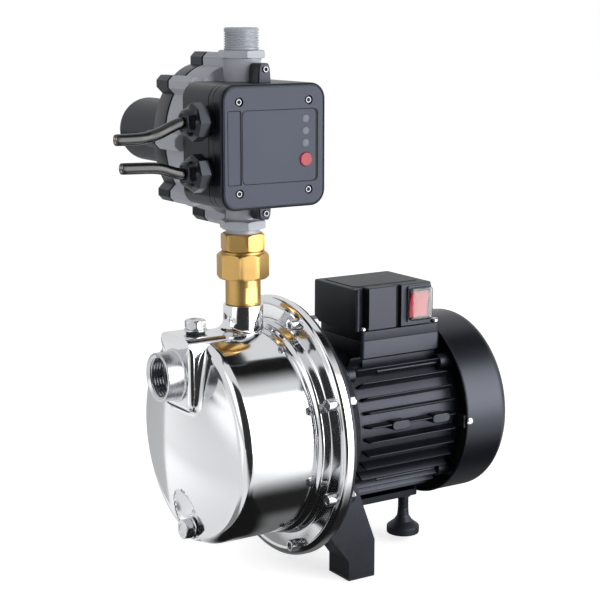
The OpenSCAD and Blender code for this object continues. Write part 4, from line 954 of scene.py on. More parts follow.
# Rear cover: black ribbed moulding with the spring dome, held by eight zinc screws through its lugs over
# the rubber diaphragm.
blue_sheen = (0.78, 0.83, 1.0, 1.0)
controller_black = grained_finish("controller_black", (0.005, 0.006, 0.009), 0.32, Specular_Tint=blue_sheen,
                                  tint=0.2, clouds=30, grains=1600,
                                  spread=0.1, relief=0.012, Specular_IOR_Level=0.4)
dome_low, dome_high = node_box("dome_cover")
cover_y, cover_end = dome_low.y, dome_low.y + 19
dome_r = 26
dome_soft = 10
dome_root = ring_w / 2 - 5
cover_steps = [(0.7, cover_y), (0, cover_y + 0.7), (0, cover_end - 1.2), (0.35, cover_end - 0.35),
               (1.2, cover_end)]
rings = [box_ring(flange_outline, inset, y) for inset, y in cover_steps]
lofted("rear_cover", rings, controller_black, stands_for=["dome_cover"])
lug_set("cover_lug", cover_y, cover_end, controller_black)
rows = [(cover_end - 1, 0), (cover_end - 1, dome_root)]
rows += soft([(cover_end - 1, dome_root, 0), (cover_end + 2, dome_root, 1.2), (cover_end + 5, dome_r + 3, 2),
              (cover_end + 8, dome_r, 3), (cover_end + 18, dome_r, 0)])
groove = 1.7
for i in range(int((dome_high.y - dome_soft - cover_end - 19) / groove)):
    y = cover_end + 19 + i * groove
    rows += [(y, dome_r), (y + groove - 0.5, dome_r), (y + groove - 0.25, dome_r - 0.12)]
rows += [(dome_high.y - dome_soft + dome_soft * math.sin(math.radians(a)),
          dome_r - dome_soft + dome_soft * math.cos(math.radians(a))) for a in range(0, 91, 10)]
rows += [(dome_high.y, 9), (dome_high.y - 1.2, 8), (dome_high.y - 1.2, 0)]
turned("spring_dome", rows, "Y", ctrl_centre, controller_black, sharp=24)
screw_y = node_box("cover_screws")[1].y
pan = [(screw_y - 30, 0), (screw_y - 30, 1.8), (screw_y - 3, 1.8), (screw_y - 3, 4), (screw_y - 1, 4),
       (screw_y - 0.2, 3.3),
       (screw_y, 2.9), (screw_y, flats(3.6)), (screw_y - 2, flats(3.4)), (screw_y - 2, 0)]
for i, (cx, cz, t) in enumerate(lug_places()):
    turned(f"rear_cover_screw_{i + 1}", pan, "Y", (pipe_x + cx, 0, ctrl_z + cz), zinc_steel, sides=40,
           phase=0.7 * i,
           stands_for=["cover_screws"])

# Control box: a deep black moulding round the flow body, with a separate front frame. It has an ear with
# a bright screw above and below the frame.
box_outline = rounded_outline(ctrl_w, ctrl_h, 12, corner=14, side=6)
seam_y, skirt_y, panel_y = frame_high.y, box_high.y, frame_low.y
box_floor = -19.3
box_steps = [(3, box_floor), (3, skirt_y - 0.4), (2.6, skirt_y), (0.5, skirt_y), (0, skirt_y - 0.6),
             (0, seam_y + 6.9),
             (0.35, seam_y + 6.6), (0.35, seam_y + 6.2), (0, seam_y + 5.9), (0, seam_y + 0.7),
             (0.45, seam_y + 0.1),
             (3, seam_y + 0.1), (3, -22)]
rings = [box_ring(box_outline, inset, y) for inset, y in box_steps]
lofted("control_housing", rings, controller_black, stands_for=["control_box"])
frame_steps = [(7, seam_y), (0.45, seam_y), (0, seam_y - 0.7), (0, panel_y + 2.2)]
frame_steps += [(2 - 2 * math.cos(math.radians(a)), panel_y + 2.2 - 2.2 * math.sin(math.radians(a)))
                for a in (20, 42, 64, 84)]
frame_steps += [(1.75, panel_y), (1.75, panel_y + 3), (7, panel_y + 3)]
rings = [box_ring(box_outline, inset, y) for inset, y in frame_steps]
lofted("front_bezel", rings, controller_black, loop=True, stands_for=["front_frame"])
ear_x = pipe_x + 3.2
ear_front, ear_back = -28, -14
ear_y = (ear_front + ear_back) / 2
screw_x = ear_x + 0.6
# A dead black used only as painted shade: plugs in the screw sockets and sheets behind the panel labels.
painted_shade_black = grained_finish("painted_shade_black", (0.004, 0.004, 0.005), 0.6, relief=0, Specular_IOR_Level=0.2)
for name, low, high, screw_z in (("upper", ctrl_h / 2 - 2, ctrl_h / 2 + 14, ctrl_h / 2 + 9.5),
                                 ("lower", -ctrl_h / 2 - 11, -ctrl_h / 2 + 2, -ctrl_h / 2 - 6)):
    outline = rounded_outline(12, 14, 1.6, 5, 3)
    tip = high if name == "upper" else low
    back = low if name == "upper" else high
    lean = math.copysign(1.2, tip - back)
    rings = [[(ear_x + (u - nu * inset) * wide, ear_y + v - nv * inset, ctrl_z + z) for u, v, nu,
              nv in outline]
             for inset, z, wide in [(0, back, 1), (0, (tip * 3 + back) / 4, 0.86), (0, tip - lean, 0.7),
                                    (0.35, tip - lean * 0.35, 0.66), (1.2, tip, 0.62)]]
    lofted(f"box_ear_{name}", rings, controller_black)
    place = (screw_x, ear_front, ctrl_z + screw_z)
    head = [(8, 0), (8, 1.6), (0, 1.6), (0, 2.6), (-0.7, 2.6), (-1.2, 2.1), (-1.2, flats(2.8)),
            (0.2, flats(2.7)), (0.2, 0)]
    turned(f"ear_screw_{name}", head, "Y", place, nut_steel, sides=48, stands_for=["ear_screws"])
    # A black plug halfway down the screw's hexagon socket is painted shade in the socket.
    turned(f"ear_screw_{name}_socket", [(0.1, 0), (0.1, flats(2.6)), (-0.5, flats(2.6)), (-0.5, 0)], "Y",
           place,
           painted_shade_black, sides=48)

# Panel plate: a slate-coloured plate let into the frame, with a shallow window and strip for its label,
# four socket screws, three lamps and the red reset button.
panel_slate = grained_finish("panel_slate", (0.03, 0.034, 0.048), 0.42, Specular_Tint=blue_sheen,
                             Specular_IOR_Level=0.3, tint=0.08, clouds=30, grains=2200, relief=0.01)
lamp_grey = grained_finish("lamp_grey", (0.10, 0.115, 0.145), 0.3, Specular_IOR_Level=0.3, tint=0.3,
                           clouds=200, relief=0)
reset_red = grained_finish("reset_red", (0.44, 0.045, 0.06), 0.35, Specular_IOR_Level=0.25, tint=0.1,
                           clouds=120, relief=0.01)


def dress(node, material):
    """Gives a CAD node that shows as it is a finish of its own."""
    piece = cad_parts[node]
    for place in piece.material_slots:
        place.link = "OBJECT"
        place.material = material


dress("panel_plate", panel_slate)
lamp_x, reset_z = pipe_x + 27, -10.6
lamp_r, reset_r = 2.9, 5.2
hole_r = reset_r + 0.3
# Behind each label lies a black sheet that shows round it as a thin dark line. It is widest on the right,
# where the label stops short of the edge by gap, and is painted shade of the recess wall.
for name, x, wide, tall, corner, gap in (("window", 5.2, 64.6, 53.6, 3.8, 1.9),
                                         ("strip", -33.6, 11.3, 53.6, 1.4, 1.2)):
    for layer, left, right, inset, y0, y1, finish in (("well", 0, 0, 0, 0.48, 0.3, painted_shade_black),
                                                      ("label", 0.2, gap, 0.35, 0.3, -0.02, panel_slate)):
        span = wide - left - right
        sheet_outline = rounded_outline(span, tall - 2 * inset, corner - inset, 6, 6)
        middle_x = pipe_x + x + (left - right) / 2
        rings = [box_ring(sheet_outline, e, y, middle_x)
                 for e, y in ((0, panel_y + y0), (0, panel_y + y1 + 0.1), (0.1, panel_y + y1))]
        if name == "window":
            hole = [Vector(q) - Vector((lamp_x, 0, ctrl_z + reset_z)) for q in rings[0]]
            hole = [math.atan2(q.z, q.x) for q in hole]
            rings += [[(lamp_x + hole_r * math.cos(t), panel_y + y, ctrl_z + reset_z + hole_r * math.sin(t))
                       for t in hole] for y in (y1, y0)]
        lofted(f"panel_{name}_{layer}", rings, finish, loop=name == "window")
screw_dx, screw_dz = 29.6, 33
for i, (sx, sz) in enumerate([(-1, 1), (1, 1), (-1, -1), (1, -1)]):
    place = (pipe_x + sx * screw_dx, panel_y, ctrl_z + sz * screw_dz)
    head = [(24, 0), (24, 1.4), (1.8, 1.4), (1.8, 2.5), (0.7, 2.5), (0.3, 2.1), (0.3, flats(2.9)),
            (1.7, flats(2.7)),
            (1.7, 0)]
    turned(f"panel_screw_{i + 1}", head, "Y", place, nut_steel, sides=48, phase=0.4 * i,
           stands_for=["panel_screws"])
    # A black plug in each screw's hexagon socket is painted shade in the socket.
    turned(f"panel_screw_{i + 1}_socket", [(1.5, 0), (1.5, flats(2.7)), (0.9, flats(2.7)), (0.9, 0)], "Y",
           place,
           painted_shade_black, sides=48, phase=0.4 * i)
for i, dz in enumerate((19.4, 10.5, 1.5)):
    lens = [(10, 0), (10, lamp_r), (0, lamp_r), (-0.15, lamp_r - 0.15), (-0.3, lamp_r * 0.6), (-0.35, 0)]
    turned(f"lamp_{i + 1}", lens, "Y", (lamp_x, panel_y, ctrl_z + dz), lamp_grey, sides=48,
           stands_for=["status_lamps"])
knob = [(8.2, 0), (8.2, reset_r + 1), (3.5, reset_r + 1), (3.5, reset_r), (-0.5, reset_r),
        (-1, reset_r - 0.35),
        (-1.2, reset_r - 0.9), (-1.0, reset_r * 0.5), (-0.9, 0)]
turned("reset_knob", knob, "Y", (lamp_x, panel_y, ctrl_z + reset_z), reset_red, sides=64, body="button",
       stands_for=["reset_button"])

# Cable glands: eight-sided black nylon nuts on a round collar, with a soft seal that grips each lead.
gland_black = grained_finish("gland_black", (0.005, 0.005, 0.006), 0.2, Specular_Tint=blue_sheen, tint=0.2,
                             clouds=50, grains=1500, relief=0.01)
wall_x = gland_high.x - 3
nose_x = gland_low.x
gland_across = 26
for i, z in enumerate((gland_high.z - gland_half, gland_low.z + gland_half)):
    nut_x0, nut_x1 = nose_x + 5, nose_x + 17
    rows = [(wall_x + 3, 6), (wall_x + 3, 6.8), (wall_x, 6.8), (wall_x, 11.5), (nut_x1 + 0.3, 11.5)]
    rows += [(nut_x1, flats(gland_across - 3, 8)), (nut_x1 - 1.5, flats(gland_across, 8)),
             (nut_x0 + 2.8, flats(gland_across, 8)), (nut_x0 + 0.7, flats(gland_across - 3.6, 8)),
             (nut_x0, 10.6)]
    rows += [(nose_x + 3, 9.9), (nose_x + 1.2, 9.2), (nose_x + 0.3, 8.3), (nose_x, 7.4), (nose_x + 0.5, 6.4),
             (nose_x + 1.5, 6)]
    turned(f"gland_{i + 1}", rows, "X", (0, (gland_low.y + gland_high.y) / 2, z), gland_black, ring=True,
           phase=math.radians(22.5), stands_for=["gland_nuts"])
dress("gland_seals", black_rubber)

# Motor housing: a die-cast tube with tapered cooling fins, tie-rod lugs, name pads and a foot rail, under
# a boss for the terminal box, all in satin black paint.
motor_black = grained_finish("motor_black", (0.005, 0.006, 0.009), 0.38, Specular_Tint=blue_sheen, tint=0.25,
                             clouds=25, grains=900, spread=0.14,
                             relief=0.05, strength=0.45, Specular_IOR_Level=0.4)
motor_low, motor_high = node_box("motor_housing")
motor_x0, motor_x1 = motor_low.x, motor_high.x
fin_r = 68
tube_r = 59.5
fin_count = 36
fin_root, fin_tip = 1.2, 0.72
rows = [(motor_x0, tube_r - 4), (motor_x0, tube_r - 0.4), (motor_x0 + 0.4, tube_r), (motor_x1 - 0.4, tube_r),
        (motor_x1, tube_r - 0.4), (motor_x1, tube_r - 4)]
turned("motor_tube", rows, "X", shaft_centre, motor_black, ring=True, sides=144,
       stands_for=["motor_housing"])
rows = [(motor_x0 + 0.4, tube_r - 2), (motor_x0 + 0.4, fin_r - 5.4), (motor_x0 + 0.8, fin_r - 5),
        (motor_x0 + 4, fin_r - 5),
        (motor_x0 + 4.6, fin_r - 5.2), (motor_x0 + 4.8, fin_r - 6), (motor_x0 + 5, tube_r - 2)]
turned("motor_spigot", rows, "X", shaft_centre, motor_black, ring=True, sides=144)
section = [(-fin_root - 0.8, tube_r - 0.6), (-fin_root - 0.2, tube_r + 0.3), (-fin_root, tube_r + 1.2),
           (-fin_tip, fin_r - 0.7),
           (-fin_tip * 0.6, fin_r - 0.15), (0, fin_r)]
section += [(-y, z) for y, z in section[:-1][::-1]]
rings = []
for x, drop in ((motor_x0 + 9, 1.2), (motor_x0 + 9.6, 0.4), (motor_x0 + 10.6, 0), (motor_x1 - 4.4, 0),
                (motor_x1 - 3.5, 0.4),
                (motor_x1 - 3, 1.2)):
    rings.append([(x, y, z - drop * max(0, (z - tube_r) / (fin_r - tube_r))) for y, z in section])
fin = lofted("motor_fins", rings, motor_black, body=None)
ring_of(fin, fin_count, along_shaft, shaft_centre, phase=5, gap=34)
tie_r = tube_r + 3
for name, x0, x1 in (("front", motor_x0, motor_x0 + 7), ("rear", motor_x1 - 7, motor_x1)):
    rows = [(x0, 2.4), (x0, 6), (x0 + 0.5, 6.5), (x1 - 0.5, 6.5), (x1, 6), (x1, 2.4)]
    lug = turned(f"tie_lugs_{name}", rows, "X", (0, 0, tie_r), motor_black, ring=True, sides=48, body=None)
    ring_of(lug, 4, along_shaft, shaft_centre, phase=45)
tilt = math.radians(86)
for i, x in enumerate((motor_x0 + 38, motor_x0 + 77)):
    outline = rounded_outline(17.2, 7.2, 3.55, 8, 4)
    rings = []
    for inset, out in ((0, tube_r - 1), (0, fin_r + 0.4), (0.25, fin_r + 0.8), (0.8, fin_r + 1)):
        rings.append([(x + u - nu * inset, -out * math.sin(tilt) + (v - nv * inset) * math.cos(tilt),
                       shaft_z + out * math.cos(tilt) + (v - nv * inset) * math.sin(tilt)) for u, v, nu,
                       nv in outline])
    lofted(f"motor_pad_{i + 1}", rings, motor_black)


def upright(name, x0, x1, y0, y1, steps, corner, material):
    """A block with rounded corners seen from above; steps are (inset, height) from the bottom up."""
    outline = rounded_outline(x1 - x0, y1 - y0, corner, 8, 6)
    rings = [flat_ring(outline, inset, (x0 + x1) / 2, (y0 + y1) / 2, z) for inset, z in steps]
    lofted(name, rings, material)


cover_low, cover_high = node_box("terminal_cover")
term_x0, term_x1 = cover_low.x + 0.5, cover_high.x - 0.5
term_y0, term_y1 = cover_low.y + 0.5, cover_high.y - 0.5
term_base = motor_high.z
base_steps = [(3, shaft_z + 34), (3, shaft_z + 54), (0.4, shaft_z + 54), (0, shaft_z + 54.6),
              (0, term_base - 9),
              (0.4, term_base - 8), (0, term_base - 7), (0, term_base - 0.5), (0.4, term_base),
              (4, term_base), (4, term_base - 12)]
base_x0, base_x1 = term_x0 + 5, motor_x1 - 0.4
upright("terminal_base", base_x0, base_x1, term_y0, term_y1, base_steps, 4, motor_black)
rail_z = motor_low.z
upright("foot_rail", motor_x0 + 2, motor_x1 - 2, -13, 13,
        [(0.6, rail_z + 5), (0, rail_z + 5.6), (0, rail_z + 29)], 1.5,
        motor_black)
upright("foot_rail_pad", motor_x0 + 2, motor_x1, -13, 13,
        [(0.6, rail_z), (0, rail_z + 0.6), (0, rail_z + 12)], 1.5,
        motor_black)
dress("end_shield", motor_black)
shield_top = node_box("shield_screws")[1].x
rows = [(motor_x0 + 30, 0), (motor_x0 + 30, 2.2), (shield_top - 3.5, 2.2)]
rows += nut_rows(shield_top - 3.5, shield_top, 7.5, 6, 0.6) + [(shield_top, 0)]
rod = turned("tie_rods", rows, "X", (0, 0, tie_r), motor_black, sides=48, body=None)
ring_of(rod, 4, along_shaft, shaft_centre, phase=45, stands_for=["shield_screws"])

# Bracket: one iron casting that carries casing and motor and stands on two feet, with the rough skin of
# sand casting under black paint.
bracket_iron = grained_finish("bracket_iron", (0.014, 0.015, 0.019), 0.45, Specular_Tint=blue_sheen,
                              tint=0.3, clouds=45, grains=420, spread=0.2,
                              relief=0.16, strength=0.5, Specular_IOR_Level=0.4)
dress("bracket", bracket_iron)

# Fan cover: a pressed steel cowl over the fan with a slotted back, held by four small bright screws.
cowl_black = grained_finish("cowl_black", (0.005, 0.006, 0.009), 0.3, Specular_Tint=blue_sheen, tint=0.2,
                            clouds=20, grains=1100, spread=0.1,
                            relief=0.03, strength=0.4, Specular_IOR_Level=0.45)
dress("fan_cover", cowl_black)
cowl_low, cowl_high = node_box("fan_cover")
cowl_r = cowl_high.y
fan_screw_x = cowl_low.x + 2.5
rows = [(cowl_low.x + 0.9 + 0.8 * math.cos(math.radians(a)), cowl_r - 0.3 + 0.8 * math.sin(math.radians(a)))
        for a in range(0, 360, 30)]
turned("cowl_rim", rows, "X", shaft_centre, cowl_black, ring=True, sides=144)
rows = [(cowl_r - 7, 0), (cowl_r - 7, 1.5), (cowl_r, 1.5), (cowl_r, 3.2), (cowl_r + 0.6, 3.1),
        (cowl_r + 1.3, 2.3),
        (cowl_r + 1.6, 1.2), (cowl_r + 1.6, 0)]
cowl_screw = turned("cowl_screws", rows, "Z", (fan_screw_x, 0, 0), zinc_steel, sides=40, body=None)
ring_of(cowl_screw, 4, along_shaft, shaft_centre, stands_for=["fan_screws"])

# Terminal box cover: a black moulded lid with a raised field on top and two grooves down its long side,
# held by four screws from below the rim.
cover_plastic = grained_finish("cover_plastic", (0.009, 0.010, 0.013), 0.42, Specular_Tint=blue_sheen,
                               tint=0.12, clouds=25, grains=1300,
                               spread=0.1, relief=0.03, strength=0.4, Specular_IOR_Level=0.4)
cover_top = cover_high.z
lid_w, lid_d = cover_high.x - cover_low.x, cover_high.y - cover_low.y
lid_outline = rounded_outline(lid_w, lid_d, 3, 6, 6)
front = -lid_d / 2
recesses = []
for left, right, deep in ((2.6, 12.6, 8.5), (38.2, 43.6, 4)):
    left, right = left - lid_w / 2, right - lid_w / 2
    recesses += [(left, front, 1, -1), (left, front + deep, 1, -1), (right, front + deep, -1, -1),
                 (right, front, -1, -1)]
corner = next(i for i, q in enumerate(lid_outline) if abs(q[1] - front) < 1e-6 and q[0] < 0)
after = next(i for i, q in enumerate(lid_outline) if i > corner and q[0] > lid_w / 2 - 3.001)
lid_outline = lid_outline[:corner + 1] + recesses + lid_outline[after:]
lid_x, lid_y = (cover_low.x + cover_high.x) / 2, (cover_low.y + cover_high.y) / 2
rings = [flat_ring(lid_outline, inset, lid_x, lid_y, z)
         for inset, z in ((1, cover_low.z + 4), (1, cover_low.z), (0.3, cover_low.z), (0, cover_low.z + 0.4),
                          (0.15, cover_top - 2), (0.4, cover_top - 1), (1.1, cover_top - 0.6))]
lofted("lid", rings, cover_plastic, stands_for=["terminal_cover"], sharp=28)
field_low = cover_top - 1
upright("lid_field", cover_low.x + 6, cover_high.x - 6, cover_low.y + 11, cover_high.y - 6,
        [(0, field_low), (0, cover_top - 0.15), (0.5, cover_top)], 4, cover_plastic)
for i, (x, y) in enumerate([(base_x0 + 4.2, term_y0 + 4.2), (base_x1 - 3.6, term_y0 + 3.6),
                            (base_x0 + 4.6, term_y1 - 4.6),
                            (term_x1 - 4.6, term_y1 - 4.6)]):
    rows = [(-8, 0), (-8, 1.7), (0.6, 1.7), (0.6, 2.9), (2.2, 2.9), (2.9, 2.2), (3.1, 1.2), (3.1, 0)]
    turned(f"lid_screw_{i + 1}", rows, "Z", (x, y, term_base), zinc_steel, sides=32,
           stands_for=["terminal_screws"])

# Rocker switch: a black frame in the lid with a red rocker that bears no mark, under a clear
# flexible splash boot.
switch_black = grained_finish("switch_black", (0.008, 0.009, 0.011), 0.35, Specular_Tint=blue_sheen,
                              tint=0.15, clouds=60, grains=2000, relief=0.01)
dress("switch_frame", switch_black)
rocker_red = grained_finish("rocker_red", (0.52, 0.03, 0.045), 0.32, tint=0.08, clouds=90, relief=0.01)
dress("switch_rocker", rocker_red)
clear_boot = new_finish("clear_boot", (0.97, 0.97, 0.98), 0.12, IOR=1.36, Transmission_Weight=1.0)
boot_low, boot_high = node_box("splash_boot")
boot_w, boot_h = boot_high.x - boot_low.x, boot_high.z - boot_low.z
boot_x, boot_z = (boot_low.x + boot_high.x) / 2, (boot_low.z + boot_high.z) / 2
boot_outline = rounded_outline(boot_w, boot_h, 2.4, 6, 4)
boot_steps = [(0, boot_high.y), (0, boot_low.y + 1.5), (0.45, boot_low.y + 0.45), (1.4, boot_low.y + 0.02),
              (2.2, boot_low.y)]
inner_steps = [(2.3, boot_low.y + 0.8), (1.7, boot_low.y + 0.85), (0.9, boot_low.y + 1.6),
               (0.8, boot_high.y)]
outer_rings = [box_ring(boot_outline, inset, y, boot_x, boot_z) for inset, y in boot_steps]
inner_rings = [box_ring(boot_outline, inset, y, boot_x, boot_z) for inset, y in inner_steps]
boot_points = [q for ring in outer_rings + inner_rings for q in ring]
boot_count = len(boot_outline)
boot_faces = []
for i in range(len(outer_rings) + len(inner_rings) - 1):
    if i == len(outer_rings) - 1:
        continue
    a, b = i * boot_count, (i + 1) * boot_count
    boot_faces += [[a + k, b + k, b + (k + 1) % boot_count, a + (k + 1) % boot_count]
                   for k in range(boot_count)]
a, b = (len(outer_rings) - 1) * boot_count, len(outer_rings) * boot_count
boot_faces += [list(range(a, a + boot_count)), list(range(b, b + boot_count))[::-1]]
a, b = 0, (len(outer_rings) + len(inner_rings) - 1) * boot_count
boot_faces += [[b + k, a + k, a + (k + 1) % boot_count, b + (k + 1) % boot_count] for k in range(boot_count)]
new_piece("clear_cap", boot_points, outward(boot_points, boot_faces), clear_boot, stands_for=["splash_boot"])

# Levelling foot: a dark moulded pad on a threaded stem that screws into the motor's foot rail.
foot_rubber = grained_finish("foot_rubber", (0.010, 0.011, 0.014), 0.5, Specular_Tint=blue_sheen, tint=0.15,
                             clouds=60, grains=1200, relief=0.03)
foot_low, foot_high = node_box("levelling_foot")
foot_r = (foot_high.y - foot_low.y) / 2
foot_x = (foot_low.x + foot_high.x) / 2
stop_z = rail_z - 7
pad_z = foot_low.z
rows = [(1.2, 0), (1.2, foot_r - 4), (0, foot_r - 4.2)]
rows += soft([(0, foot_r - 4.2, 0), (0, foot_r, 0.9), (6, foot_r, 1), (8.5, foot_r - 3, 2),
              (10.5, 8, 1), (15, 5, 2), (20, 4.6, 0)])
rows += thread_rows(20.5, stop_z - 2.4, 4.6, 0.7, 1.5, 6)
rows += [(stop_z - 2.2, 6), (stop_z - 1.9, 6.2), (stop_z - 0.3, 6.2), (stop_z, 5.9)]
rows += thread_rows(stop_z + 0.2, foot_high.z - pad_z, 4, 0.55, 1.25, 6) + [(foot_high.z - pad_z, 0)]
turned("levelling_pad", rows, "Z", (foot_x, 0, pad_z), foot_rubber, sides=72, body="leveller",
       stands_for=["levelling_foot"])

# What is inside the pump, motor and controller keeps its CAD shape, in its own finish.
inner_plastic = grained_finish("inner_plastic", (0.06, 0.06, 0.07), 0.45)
shaft_steel = polished_finish("shaft_steel", (0.60, 0.61, 0.63), 0.25, waves=0)
lamination = grained_finish("lamination_steel", (0.30, 0.30, 0.32), 0.45, metallic=1.0, tint=0.2)
inner_finishes = {
    "casing_gasket": black_rubber, "seal_seat": grained_finish("ceramic_seat", (0.80, 0.78, 0.72), 0.25),
    "seal_head": grained_finish("seal_carbon", (0.06, 0.06, 0.07), 0.4), "impeller": union_brass,
    "nozzle": union_brass,
    "impeller_nut": zinc_steel, "diffuser": inner_plastic, "ejector": inner_plastic, "shaft": shaft_steel,
    "rotor": lamination, "stator": lamination,
    "windings": grained_finish("copper_winding", (0.70, 0.32, 0.14), 0.35, metallic=0.9, tint=0.3,
                               clouds=200),
    "bearing_front": shaft_steel, "bearing_rear": shaft_steel,
    "fan": grained_finish("fan_plastic", (0.03, 0.03, 0.035), 0.45),
    "terminal_block": grained_finish("cream_plastic", (0.72, 0.67, 0.52), 0.4),
    "capacitor": grained_finish("capacitor_can", (0.62, 0.63, 0.65), 0.35, metallic=0.8),
    "union_seal": black_rubber, "diaphragm": black_rubber,
    "check_poppet": grained_finish("white_plastic", (0.75, 0.75, 0.73), 0.4),
    "circuit_board": grained_finish("board_green", (0.03, 0.16, 0.07), 0.4, tint=0.3, clouds=300),
}
for node, material in inner_finishes.items():
    dress(node, material)

# Studio: a white floor and surround, soft lamps from the front and both sides, and cards out of the
# picture, some bright and some dark, that only glossy rays see. None of it belongs to the pump.
def area_lamp(name, place, target, width, height, power):
    data = bpy.data.lights.new(name, "AREA")
    data.shape = "RECTANGLE"
    data.size, data.size_y, data.energy = width, height, power
    lamp = bpy.data.objects.new(name, data)
    lamp.location = place
    lamp.rotation_mode = "QUATERNION"
    lamp.rotation_quaternion = (Vector(target) - Vector(place)).to_track_quat("-Z", "Y")
    bpy.context.scene.collection.objects.link(lamp)


def board(name, corners, shades, fades):
    """A card that only glossy rays see. It goes from one shade to the other between its first and
    second corner, and fades out over a share of its width at its start, end, first and second side."""
    mesh = bpy.data.meshes.new(name)
    mesh.from_pydata([[c * MM for c in q] for q in corners], [], [(0, 1, 2, 3)])
    for loop, place in zip(mesh.uv_layers.new(name="card").data, ((0, 0), (1, 0), (1, 1), (0, 1))):
        loop.uv = place
    card = bpy.data.objects.new(name, mesh)
    bpy.context.scene.collection.objects.link(card)
    material = bpy.data.materials.new(name)
    material.use_nodes = True
    tree = material.node_tree
    place = tree.nodes.new("ShaderNodeSeparateXYZ")
    tree.links.new(tree.nodes.new("ShaderNodeTexCoord").outputs["UV"], place.inputs[0])
    cover = 1.0
    for axis, edges in ((0, fades[:2]), (1, fades[2:])):
        far = math_node(tree, "SUBTRACT", 1.0, place.outputs[axis])
        for distance, edge in ((place.outputs[axis], edges[0]), (far, edges[1])):
            if edge:
                fade = tree.nodes.new("ShaderNodeMapRange")
                fade.interpolation_type = "SMOOTHSTEP"
                tree.links.new(distance, fade.inputs["Value"])
                fade.inputs["From Max"].default_value = edge
                cover = math_node(tree, "MULTIPLY", cover, fade.outputs[0])
    rise = math_node(tree, "MULTIPLY", place.outputs[0], shades[1] - shades[0])
    level = math_node(tree, "ADD", shades[0], rise)
    glow = tree.nodes.new("ShaderNodeEmission")
    tree.links.new(level, glow.inputs["Strength"])
    blend = tree.nodes.new("ShaderNodeMixShader")
    if cover == 1.0:
        blend.inputs[0].default_value = 1.0
    else:
        tree.links.new(cover, blend.inputs[0])
    tree.links.new(tree.nodes.new("ShaderNodeBsdfTransparent").outputs[0], blend.inputs[1])
    tree.links.new(glow.outputs[0], blend.inputs[2])
    tree.links.new(blend.outputs[0], tree.nodes["Material Output"].inputs["Surface"])
    mesh.materials.append(material)
    card.visible_camera = card.visible_diffuse = card.visible_shadow = card.visible_transmission = False


middle = (-0.01, 0.0, 0.2)
area_lamp("key_lamp", (0.6, -1.6, 0.6), middle, 1.3, 1.3, 17)
area_lamp("side_lamp", (1.6, -0.9, 0.9), middle, 0.9, 1.2, 5)
area_lamp("left_lamp", (-1.6, -0.2, 0.9), middle, 0.7, 1.3, 2.5)
board("ceiling_board", [(200, -900, 1500), (200, 95, 1500), (1700, 95, 1500), (1700, -900, 1500)],
      (0.01, 0.01), (0.62, 0.03, 0.05, 0.1))
board("front_board", [(-200, -1500, 0), (-200, -1500, 2100), (2200, -1500, 2100), (2200, -1500, 0)],
      (6.5, 2.5), (0, 0.3, 0.2, 0.1))
board("motor_ceiling", [(950, -1300, 1490), (950, 350, 1490), (2600, 350, 1490), (2600, -1300, 1490)],
      (0.01, 0.01), (0.12, 0, 0.15, 0.15))
board("front_floor", [(-60, -1500, 1), (-60, -110, 1), (1200, -110, 1), (1200, -1500, 1)],
      (9.0, 0.9), (0, 0.08, 0.15, 0.1))
board("back_left_floor", [(-1500, -300, 1), (-290, -60, 1), (-900, 1000, 1), (-1500, 1500, 1)],
      (1.25, 1.25), (0, 0.14, 0.1, 0))
board("dome_tone", [(-380, -20, 1), (-120, -20, 1), (200, 1500, 1), (-1100, 1500, 1)],
      (1.25, 1.18), (0.5, 0, 0.2, 0))
board("dome_shade", [(-128, 135, 2), (60, 60, 2), (300, 1500, 2), (-610, 1350, 2)], (0.55, 0.24),
      (0, 0, 0, 0))
# The next five cards lie on the floor under and round the pump. They are painted shade of the floor there,
# which only the metal's reflections show.
board("dish_shade", [(-270, -90, 2), (-160, -90, 2), (-160, 38, 2), (-270, 38, 2)], (0.25, 0.25),
      (0.5, 0, 0.3, 0.1))
board("under_left", [(-165, -220, 2), (-165, 45, 2), (-58, 45, 2), (-58, -220, 2)], (0.01, 0.01),
      (0.3, 0.2, 0.05, 0))
board("under_board", [(-58, -220, 2), (-58, 250, 2), (300, 250, 2), (300, -220, 2)],
      (0.015, 0.03), (0.22, 0.1, 0, 0.1))
board("under_glow", [(-66, -80, 3), (-66, 240, 3), (300, 240, 3), (300, -80, 3)], (0.17, 0.12),
      (0.1, 0, 0.05, 0))
board("flange_shade", [(-128, 45, 3), (60, 45, 3), (60, 240, 3), (-128, 240, 3)], (0.3, 0.3),
      (0.1, 0, 0.1, 0.2))
board("camera_board", [(-1400, -500, 0), (200, -1300, 0), (200, -1300, 2200), (-1400, -500, 2200)],
      (0.035, 0.035), (0.12, 0.15, 0, 0.2))
board("far_left_floor", [(-420, 760, 4), (-1000, 560, 4), (-2200, 2600, 4), (-300, 2600, 4)],
      (0.02, 0.02), (0.1, 0.2, 0.25, 0))
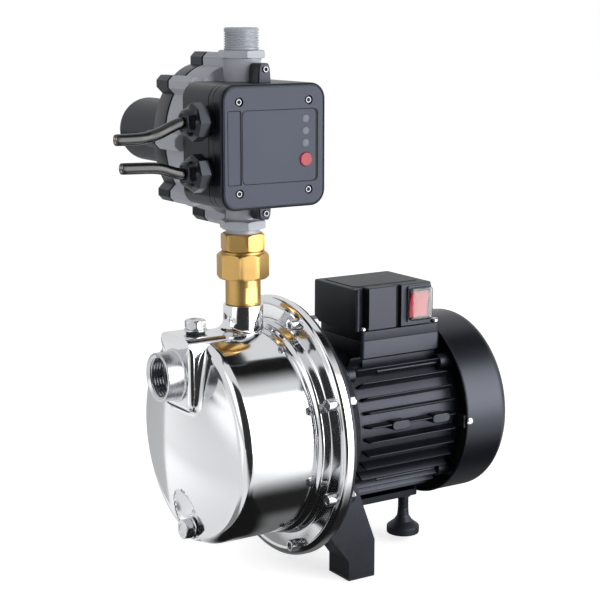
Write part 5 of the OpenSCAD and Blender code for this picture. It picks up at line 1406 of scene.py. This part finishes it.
board("camera_floor", [(-175, -130, 3), (-120, -230, 3), (150, -1300, 3), (-1200, -550, 3)],
      (0.03, 0.03), (0.12, 0.12, 0.05, 0))

def ray_level(tree, others, seen_more, camera_more):
    """A strength for all rays, with more for camera, glossy and transmission rays and more again for the
    camera's."""
    rays = tree.nodes.new("ShaderNodeLightPath")
    seen = math_node(tree, "MAXIMUM", rays.outputs["Is Camera Ray"], rays.outputs["Is Glossy Ray"])
    seen = math_node(tree, "MAXIMUM", seen, rays.outputs["Is Transmission Ray"])
    level = math_node(tree, "ADD", math_node(tree, "MULTIPLY", seen, seen_more), others)
    camera_part = math_node(tree, "MULTIPLY", rays.outputs["Is Camera Ray"], camera_more)
    return math_node(tree, "ADD", level, camera_part)


world = bpy.data.worlds.new("studio")
bpy.context.scene.world = world
world.use_nodes = True
tree = world.node_tree
backdrop = tree.nodes["Background"]
backdrop.inputs["Color"].default_value = (1, 1, 1, 1)
tree.links.new(ray_level(tree, 0.35, 0.45, 0.2), backdrop.inputs["Strength"])

floor_mesh = bpy.data.meshes.new("floor")
floor_mesh.from_pydata([(-6, -6, 0), (6, -6, 0), (6, 6, 0), (-6, 6, 0)], [], [(0, 1, 2, 3)])
floor = bpy.data.objects.new("floor", floor_mesh)
floor.location = (0, 0, -0.0004)
bpy.context.scene.collection.objects.link(floor)
floor_white = bpy.data.materials.new("floor_white")
floor_white.use_nodes = True
tree = floor_white.node_tree
paper = tree.nodes["Principled BSDF"]
paper.inputs["Base Color"].default_value = (0.95, 0.95, 0.95, 1)
paper.inputs["Roughness"].default_value = 0.9
paper.inputs["Specular IOR Level"].default_value = 0.0
glow = tree.nodes.new("ShaderNodeEmission")
tree.links.new(ray_level(tree, 0.0, 0.35, 0.36), glow.inputs["Strength"])
both = tree.nodes.new("ShaderNodeAddShader")
tree.links.new(paper.outputs[0], both.inputs[0])
tree.links.new(glow.outputs[0], both.inputs[1])
tree.links.new(both.outputs[0], tree.nodes["Material Output"].inputs["Surface"])
floor_mesh.materials.append(floor_white)

bpy.context.scene.view_settings.view_transform = "Standard"
